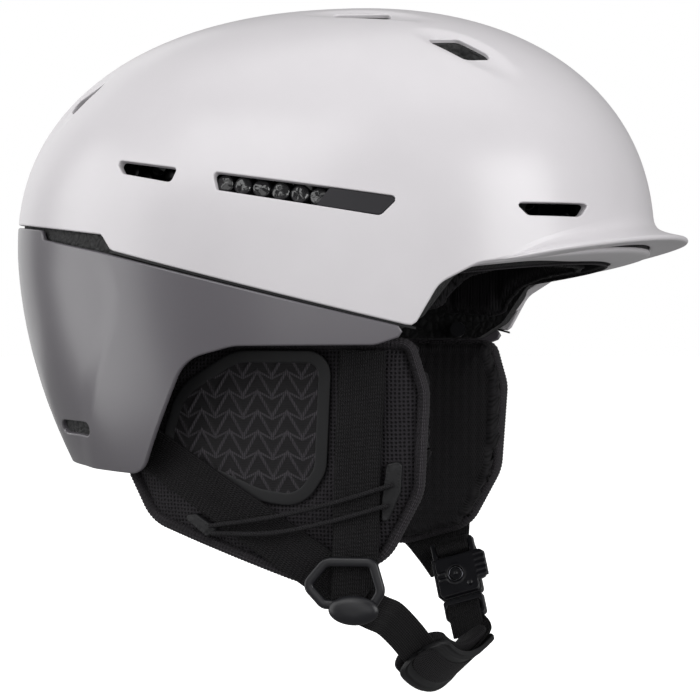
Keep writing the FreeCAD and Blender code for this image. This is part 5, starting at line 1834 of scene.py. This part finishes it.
@dataclass
class Divider:
    """The three-cornered ring that joins the right straps, with its cap."""

    wall: float = 3.0
    bar: float = 3.7
    outline: Outline = ((-16.6, 1.0, 5), (-7, 12.2, 7), (14, 12.5, 5), (18, -1, 6), (13, -9, 4), (-8, -8, 5))
    cap_centre: tuple[float, float] = (5.5, -8.0)
    cap_half: tuple[float, float] = (10.5, 6.25)
    cap_wall: float = 3.4
    cap_edge: float = 0.55
    cap_rim: float = 1.1

    @property
    def centre(self) -> Array:
        """Middle of the ring."""
        return PAD.point(29, -136.5, 93.75) - np.array([0, (1.3 + self.wall) / 2 + 0.8, 0])

    def ring(self) -> Piece:
        """Ring with a full, softened section."""
        flat = grow_outline(rounded(self.outline, 0.5), -self.bar / 2)
        path = self.centre + np.stack([flat[:, 0], np.zeros(len(flat)), flat[:, 1]], axis=1)
        section = ellipse_section(self.bar / 2, self.wall / 2, 20, 3.0)
        return sweep(path, OUTWARD, lambda k, run: section, closed=True).build("divider_ring_moulded")

    def cap(self) -> Piece:
        """Long low dome over the foot of the ring."""
        centre, half = np.array(self.cap_centre), np.array(self.cap_half) - self.cap_edge
        loop = centre + circle(72) * half

        def lift(places: Array) -> Array:
            """The dome."""
            share = np.minimum(np.hypot(*((places - centre) / half).T), 1.0)
            crown = (self.cap_wall - self.cap_rim) * (1 - share ** 3.2) ** 0.7
            rise = self.wall / 2 + self.cap_rim + crown
            return self.centre + np.stack([places[:, 0], -rise, places[:, 1]], axis=1)

        sheet = plane_sheet(lift, loop, 0.7)
        return sheet.solid(1.1, 0.5, 0.05).build("divider_cap_dome", own_normals=True)

    def build(self) -> None:
        """Builds and dresses the divider."""
        dress(self.ring(), Finish.BUCKLE, Body.SHELL, ["divider_ring"])
        dress(self.cap(), Finish.BUCKLE, Body.SHELL, ["divider_cap"])


@dataclass
class ChinStrap:
    """The chin webbing, with its pad and the pad's tray."""

    web_width: float = 15.5
    pad_width: float = 25.0
    pad_wall: float = 5.0
    tray_wall: float = 1.4
    gap: float = 0.85
    sag: float = 11.0
    pad_right: tuple[float, float, float] = (46, -34, -168)
    pad_left: tuple[float, float, float] = (60, 26, -171)
    across: tuple[float, float, float] = (0.72, 0, 0.69)

    def pad_stations(self) -> list[Station]:
        """Line of the webbing inside the pad."""
        made = []
        for t in np.linspace(0, 1, 7):
            centre = np.array(self.pad_right) * (1 - t) + np.array(self.pad_left) * t
            made.append((centre - np.array([0, 0, self.sag * 4 * t * (1 - t)]), np.array(self.across)))
        return made

    def webbing(self) -> Piece:
        """Webbing from the divider to the ladder."""
        leaving = np.array([0.57, 0, 0.82])
        stations: list[Station] = [
            (np.array([35.5, -89.2, -143.0]), leaving),
            (CHIN_RIGHT - SWING_AXIS * 3, leaving),
            (CHIN_RIGHT + np.array([1.2, 14, -5.0]), leaving),
            (CHIN_RIGHT + np.array([3.2, 32, -13.5]), leaving),
        ]
        stations += self.pad_stations()
        lean = BUCKLE.leaning
        stations += [(BUCKLE.place(0, 0, 35.0), lean), (BUCKLE.place(0, 0, 27.8), lean)]
        return Webbing(self.web_width).along(stations).build("chin_webbing_woven")

    def free_end(self) -> Piece:
        """Folded end of the webbing, over the ladder's bar and back down its face."""
        lean = BUCKLE.axes()[0]
        route = ((-2.9, 33.5), (-2.6, 29.5), (-1.0, 27.4), (1.4, 27.4), (3.0, 29.4), (3.3, 33.0), (2.9, 39.5),
                 (2.5, 42.5))
        stations = [(BUCKLE.place(0, y, z), lean) for y, z in route]
        return Webbing(self.web_width * 0.97, 1.1).along(stations).build("chin_webbing_fold")

    def strip(self, offset: float, section: Callable[[float], Array], step: float = 0.8) -> MeshParts:
        """Solid along the pad's line, at an offset out from it, with rounded ends.

        Args:
            offset: how far out from the webbing's middle.
            section: the section for a share of its full width.
            step: spacing along.

        Returns:
            The mesh parts.
        """
        stations = self.pad_stations()
        path = spline([centre for centre, _ in stations], step)
        across = np.tile(unit(np.array(self.across)), (len(path), 1))
        out = unit(np.cross(np.gradient(path, axis=0), across))
        run = np.arange(len(path)) * step
        near = np.minimum(run, run[-1] - run)
        share = np.sqrt(np.clip(1 - (1 - np.clip(near / 8.0, 0, 1)) ** 2, 0.06, 1))
        return sweep(path + out * offset, out, lambda k, _: section(float(share[k])))

    def pad(self) -> Piece:
        """Soft pad on the chin side."""
        def section(share: float) -> Array:
            """Crowned section, flatter on the webbing's side."""
            thick = self.pad_wall / 2 * min(1.0, share + 0.2)
            loop = ellipse_section(self.pad_width / 2 * share, thick, 44, 2.7)
            loop[:, 1] -= 0.35 * np.exp(-(loop[:, 0] / 2.0) ** 2) * np.sign(loop[:, 1]) * share
            return loop

        made = self.strip(-(self.gap + self.pad_wall / 2), section).build("chin_pad_soft")
        return made

    def tray(self) -> Piece:
        """Moulded tray with a raised double rim round its window."""
        half = self.pad_width / 2
        lines = (half - 0.9, half - 3.3)

        def section(share: float) -> Array:
            """Flat section with two ridges near each edge."""
            loop = ellipse_section(half * share, self.tray_wall / 2, 90, 8.0)
            away = np.abs(loop[:, 0]) / max(share, 0.05)
            ridge = sum(0.8 * np.exp(-((away - line) / 0.5) ** 2) for line in lines)
            loop[:, 1] += np.where(loop[:, 1] > 0, ridge, 0.0)
            return loop

        return self.strip(self.gap + self.tray_wall / 2, section).build("chin_pad_moulded_tray")

    def window(self) -> Piece:
        """Knit let into the tray."""
        section = ellipse_section(6.2, 0.35, 40, 6.0)
        strip = self.strip(self.gap + self.tray_wall + 0.1, lambda share: section * np.array([share, 1.0]))
        return strip.build("chin_pad_knit_window")

    def build(self) -> None:
        """Builds and dresses the chin strap; its webbing gets no body, and its transform is baked into its mesh."""
        web = self.webbing()
        dress(web, Finish.WEBBING, None, ["chin_webbing"])
        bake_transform(web)
        dress(self.free_end(), Finish.WEBBING, Body.CHIN)
        dress(self.pad(), Finish.PAD, Body.CHIN, ["chin_pad"])
        dress(self.tray(), Finish.RUBBER, Body.CHIN, ["chin_pad_tray"])
        dress(self.window(), Finish.PAD, Body.CHIN)


@dataclass
class Buckle:
    """The side-slide buckle: base, bar, latch with its magnet, and ladder."""

    half: float = 10.0
    ear: float = 2.4
    wall: float = 4.0
    base_end: float = 24.0
    latch_face: float = 5.8
    latch_wall: float = 3.4
    magnet_drop: float = 14.0
    magnet_radius: float = 3.6

    def plate(self, outline: Outline, face: float | Callable[[Array], Array], wall: float, edge: float,
              holes: Sequence[Array] = (), spacing: float = 1.1) -> MeshParts:
        """Moulded plate with soft edges, drawn as (across, up) from the bar.

        Args:
            outline: its outline.
            face: height of its face, as a number or from its places.
            wall: thickness.
            edge: radius of its edges.
            holes: loops of its openings.
            spacing: distance between vertices.

        Returns:
            The mesh parts.
        """
        loop = grow_outline(rounded(outline, 0.35), -edge)

        def lift(places: Array) -> Array:
            """The plate's face."""
            height = face(places) if callable(face) else face
            return BUCKLE.place(places[:, 0], height, -places[:, 1])

        return plane_sheet(lift, loop, spacing, [grow_outline(h, edge) for h in holes]).solid(wall, edge, 0.05)

    def base(self) -> Piece:
        """Base plate with two ears and a raised rail."""
        inner = self.half - self.ear
        outline = ((-self.half, 3.2, 1.6), (-inner, 3.2, 0.6), (-inner, -4.2, 0.8), (inner, -4.2, 0.8),
                   (inner, 3.2, 0.6), (self.half, 3.2, 1.6), (self.half, -self.base_end, 2),
                   (-self.half, -self.base_end, 2))
        parts = self.plate(outline, self.wall / 2, self.wall, 0.55)
        rail = ((-self.half, -5.0, 0.5), (-9.15, -5.0, 0.3), (-9.15, -23.0, 0.3), (-self.half, -23.0, 0.5))
        parts.merge(self.plate(rail, self.wall / 2 + 3.4, 3.8, 0.25, spacing=0.6))
        return parts.build("buckle_base_moulded", own_normals=True)

    def bar(self) -> Piece:
        """Bar with rounded ends."""
        rows = []
        for x, radius in ((-9.9, 0.9), (-9.6, 1.4), (-9.0, 1.6), (0.0, 1.6), (9.0, 1.6), (9.6, 1.4), (9.9, 0.9)):
            t = turns(24)
            rows.append(BUCKLE.place(np.full(24, x), radius * np.cos(t), radius * np.sin(t)))
        grid = np.array(rows)
        parts = MeshParts()
        parts.rod(grid, grid[:, :, :2], flip=True)
        return parts.build("buckle_bar_turned")

    def latch(self) -> Piece:
        """Latch with its grip, two short ribs, a dimple and a seat for the magnet."""
        seat = circle(56) * (self.magnet_radius + 0.1) - np.array([0, self.magnet_drop])
        outline = ((-8.9, -5.5, 1.6), (9.5, -5.5, 0.4), (9.9, -5.0, 0.4), (14.5, -5.6, 3.4), (14.5, -18.4, 3.4),
                   (9.9, -19.0, 0.4), (9.5, -19.4, 0.6), (9.5, -23.5, 1.6), (-8.9, -23.5, 1.6))

        def face(places: Array) -> Array:
            """Height of the latch's face."""
            x, drop = places[:, 0], -places[:, 1]
            from_magnet = drop - self.magnet_drop
            dimple = 0.55 * (1 - ease(np.hypot(x - 5.6, drop - 20.0), 0.5, 1.3))
            ribs = 0.4 * (1 - ease(np.abs(np.abs(from_magnet) - 1.4), 0.3, 0.8)) * (1 - ease(np.abs(x + 6.2), 1.3, 1.8))
            grip = ease(x, 9.0, 10.4)
            teeth = 0.28 * grip * (0.5 + 0.5 * np.cos(2 * math.pi * (drop - 12.0) / 2.6))
            teeth = teeth * (1 - ease(np.abs(drop - 12), 5, 6.4))
            rim = 0.3 * (1 - ease(np.hypot(x, from_magnet), self.magnet_radius + 0.5, self.magnet_radius + 1.5))
            return self.latch_face - 0.45 - dimple + ribs - 0.25 * grip + teeth + rim

        parts = self.plate(outline, face, self.latch_wall - 0.45, 0.5, [seat], 0.55)
        return parts.build("buckle_latch_moulded", own_normals=True)

    def turned(self, name: str, profile: Sequence[tuple[float, float]]) -> Piece:
        """Round piece about the magnet's axis, from a closed profile of (radius, height)."""
        t = turns(48)
        rows = []
        for radius, height in profile:
            rows.append(BUCKLE.place(radius * np.cos(t), np.full(48, height), self.magnet_drop + radius * np.sin(t)))
        grid = np.array(rows)
        parts = MeshParts()
        parts.grid(grid, grid[:, :, :2], closed_u=True, closed_v=True)
        return parts.build(name)

    def magnet(self) -> Piece:
        """Magnet with a dished face."""
        top = self.latch_face - 0.35
        profile = ((0.02, top - 1.0), (0.02, top - 0.25), (1.4, top - 0.22), (2.3, top - 0.1), (2.6, top - 0.05),
                   (2.7, top - 1.0))
        return self.turned("buckle_magnet_disc", profile)

    def magnet_ring(self) -> Piece:
        """Bright ring round the magnet."""
        top = self.latch_face - 0.1
        profile = ((2.75, top - 1.0), (2.75, top - 0.2), (2.95, top), (3.3, top + 0.03), (3.55, top - 0.2),
                   (3.55, top - 1.0))
        return self.turned("buckle_magnet_ring", profile)

    def ladder(self) -> Piece:
        """Ladder with its two bars."""
        outline = ((-9.35, -24.4, 1.2), (9.35, -24.4, 1.2), (9.35, -34, 1.8), (-9.35, -34, 1.8))
        slot = rounded(((-7.75, -26.8, 0.8), (7.75, -26.8, 0.8), (7.75, -31.6, 0.8), (-7.75, -31.6, 0.8)), 0.35)
        parts = self.plate(outline, self.wall / 2, self.wall, 0.6, [slot])
        return parts.build("buckle_ladder_moulded", own_normals=True)

    def build(self) -> None:
        """Builds and dresses the buckle."""
        dress(self.base(), Finish.BUCKLE, Body.CHIN, ["buckle_base"])
        dress(self.bar(), Finish.BUCKLE, Body.CHIN, ["buckle_bar"])
        dress(self.ladder(), Finish.BUCKLE, Body.CHIN, ["buckle_ladder"])
        dress(self.latch(), Finish.BUCKLE, Body.LATCH, ["buckle_latch"])
        dress(self.magnet(), Finish.BUCKLE, Body.LATCH)
        dress(self.magnet_ring(), Finish.MAGNET, Body.LATCH, ["buckle_magnet"])


@dataclass
class Cradle:
    """The fit cradle: band, nape pad, rails, and the dial with its housing."""

    pad_layer: tuple[float, float] = (37.5, 41.5)
    pad_outline: Outline = ((-78, -52, 5), (-80, -80, 5), (-190, -80), (-190, -52))

    def pad(self) -> Piece:
        """Nape pad with upright sewn channels."""
        loop = cut_line(self.pad_outline, 0.0, 1.8, self.pad_layer[0])

        def channels(points: Array) -> Array:
            """Sewn lines every 15 mm across the nape."""
            gap = np.abs((points[:, 1] / 22.0 + 0.5) % 1.0 - 0.5) * 22.0
            return 0.9 * (1 - ease(gap, 0.0, 1.8))

        return inward_pad("cradle_pad_sewn", loop, self.pad_layer, channels, 2.0)

    def build(self) -> None:
        """Builds and dresses the cradle."""
        dress(self.pad(), Finish.PAD, Body.CRADLE, ["cradle_pad"])
        for node, finish, bevel in (("cradle_band", Finish.BUCKLE, 0.4), ("cradle_rails", Finish.BUCKLE, 0.4),
                                    ("dial_housing", Finish.BUCKLE, 0.8), ("dial_knob", Finish.RUBBER, 0.5),
                                    ("dial_spindle", Finish.MAGNET, 0.2)):
            carry_over(node, finish, bevel)


# --- studio
@dataclass
class Studio:
    """Pale floor, soft lights and the camera. Sizes are in metres."""

    azimuth: float = math.radians(15)
    distance: float = 0.850
    aim: tuple[float, float, float] = (0.008, 0.0, -0.044)
    lens: float = 100.0
    floor_gap: float = 0.012
    room_light: float = 0.25
    floor_glow: float = 0.85

    def camera(self) -> None:
        """The camera, level with the ear pads and a little round to the front."""
        data = bpy.data.cameras.new("camera")
        data.lens = self.lens
        data.sensor_width = 36.0
        data.clip_end = 100.0
        made = bpy.data.objects.new("camera", data)
        bpy.context.scene.collection.objects.link(made)
        back = Vector((math.sin(self.azimuth), -math.cos(self.azimuth), 0.0))
        made.location = Vector(self.aim) + back * self.distance
        made.rotation_mode = "QUATERNION"
        made.rotation_quaternion = (-back).to_track_quat("-Z", "Y")
        bpy.context.scene.camera = made

    def light(self, name: str, place: Sequence[float], size: tuple[float, float], power: float) -> None:
        """A soft rectangular light that faces the helmet."""
        data = bpy.data.lights.new(name, "AREA")
        data.shape = "RECTANGLE"
        data.size, data.size_y = size
        data.energy = power
        made = bpy.data.objects.new(name, data)
        bpy.context.scene.collection.objects.link(made)
        made.location = place
        made.rotation_mode = "QUATERNION"
        made.rotation_quaternion = (Vector(self.aim) - Vector(place)).to_track_quat("-Z", "Y")

    def floor(self) -> None:
        """A wide pale floor below the chin strap."""
        z = CAD_BOX[0].z - self.floor_gap
        sides = 64
        parts = MeshParts()
        rows = []
        for radius in (0.5, 1.5, 6.0, 40.0):
            t = turns(sides)
            rows.append(np.stack([radius * np.cos(t), radius * np.sin(t), np.full(sides, z)], axis=1) / MM)
        grid = np.array(rows)
        start = parts.grid(grid, grid[:, :, :2], closed_v=True)
        parts.cap(start, sides)
        made = parts.build("floor")
        n = Nodes("pale_floor")
        mottle = n.noise(n.coords(False), 3.0)
        colour = n.ramp(mottle, [(0.3, (0.86, 0.86, 0.86)), (0.7, (0.88, 0.88, 0.88))])
        rough = n.span(mottle, 0.0, 1.0, 0.85, 0.95)
        finish = n.dress(colour, rough, n.bump(mottle, 0.0001), Emission_Color=WHITE_LIGHT,
                         Emission_Strength=self.floor_glow)
        made.data.materials.append(finish)
        made.visible_diffuse = made.visible_glossy = False

    def build(self) -> None:
        """Sets up the whole studio."""
        self.camera()
        self.floor()
        lights = (
            ("key", (-0.55, -1.15, 0.95), (1.1, 0.9), 8.5), ("top", (0.1, -0.1, 1.5), (1.6, 1.6), 7.0),
            ("front", (1.4, -0.7, 0.3), (0.9, 1.2), 16.0), ("rear_side", (-1.35, -0.5, 0.1), (1.0, 1.5), 11.0),
            ("fill", (0.1, -1.8, 0.1), (1.6, 1.0), 6.0), ("rim_back", (-1.1, 0.9, 0.4), (1.0, 1.4), 3.0),
        )
        for light in lights:
            self.light(*light)
        world = bpy.data.worlds.new("white_room")
        world.use_nodes = True
        tree = world.node_tree
        backdrop = tree.nodes["Background"]
        backdrop.inputs["Color"].default_value = WHITE_LIGHT
        backdrop.inputs["Strength"].default_value = 1.0
        room = tree.nodes.new("ShaderNodeBackground")
        room.inputs["Color"].default_value = WHITE_LIGHT
        room.inputs["Strength"].default_value = self.room_light
        chosen = tree.nodes.new("ShaderNodeMixShader")
        tree.links.new(tree.nodes.new("ShaderNodeLightPath").outputs["Is Camera Ray"], chosen.inputs[0])
        tree.links.new(room.outputs[0], chosen.inputs[1])
        tree.links.new(backdrop.outputs[0], chosen.inputs[2])
        tree.links.new(chosen.outputs[0], tree.nodes["World Output"].inputs["Surface"])
        bpy.context.scene.world = world
        bpy.context.scene.view_settings.view_transform = "Standard"


def main() -> None:
    """Builds the helmet and its studio."""
    logging.basicConfig(level=logging.INFO, format="%(name)s: %(message)s")
    Studio().build()
    Shells().build()
    Liner().build()
    for side in Side:
        EarPad(side).build()
        Straps(side).build()
    for part in (Divider(), ChinStrap(), Buckle(), Cradle()):
        part.build()


if __name__ == "__main__":
    main()
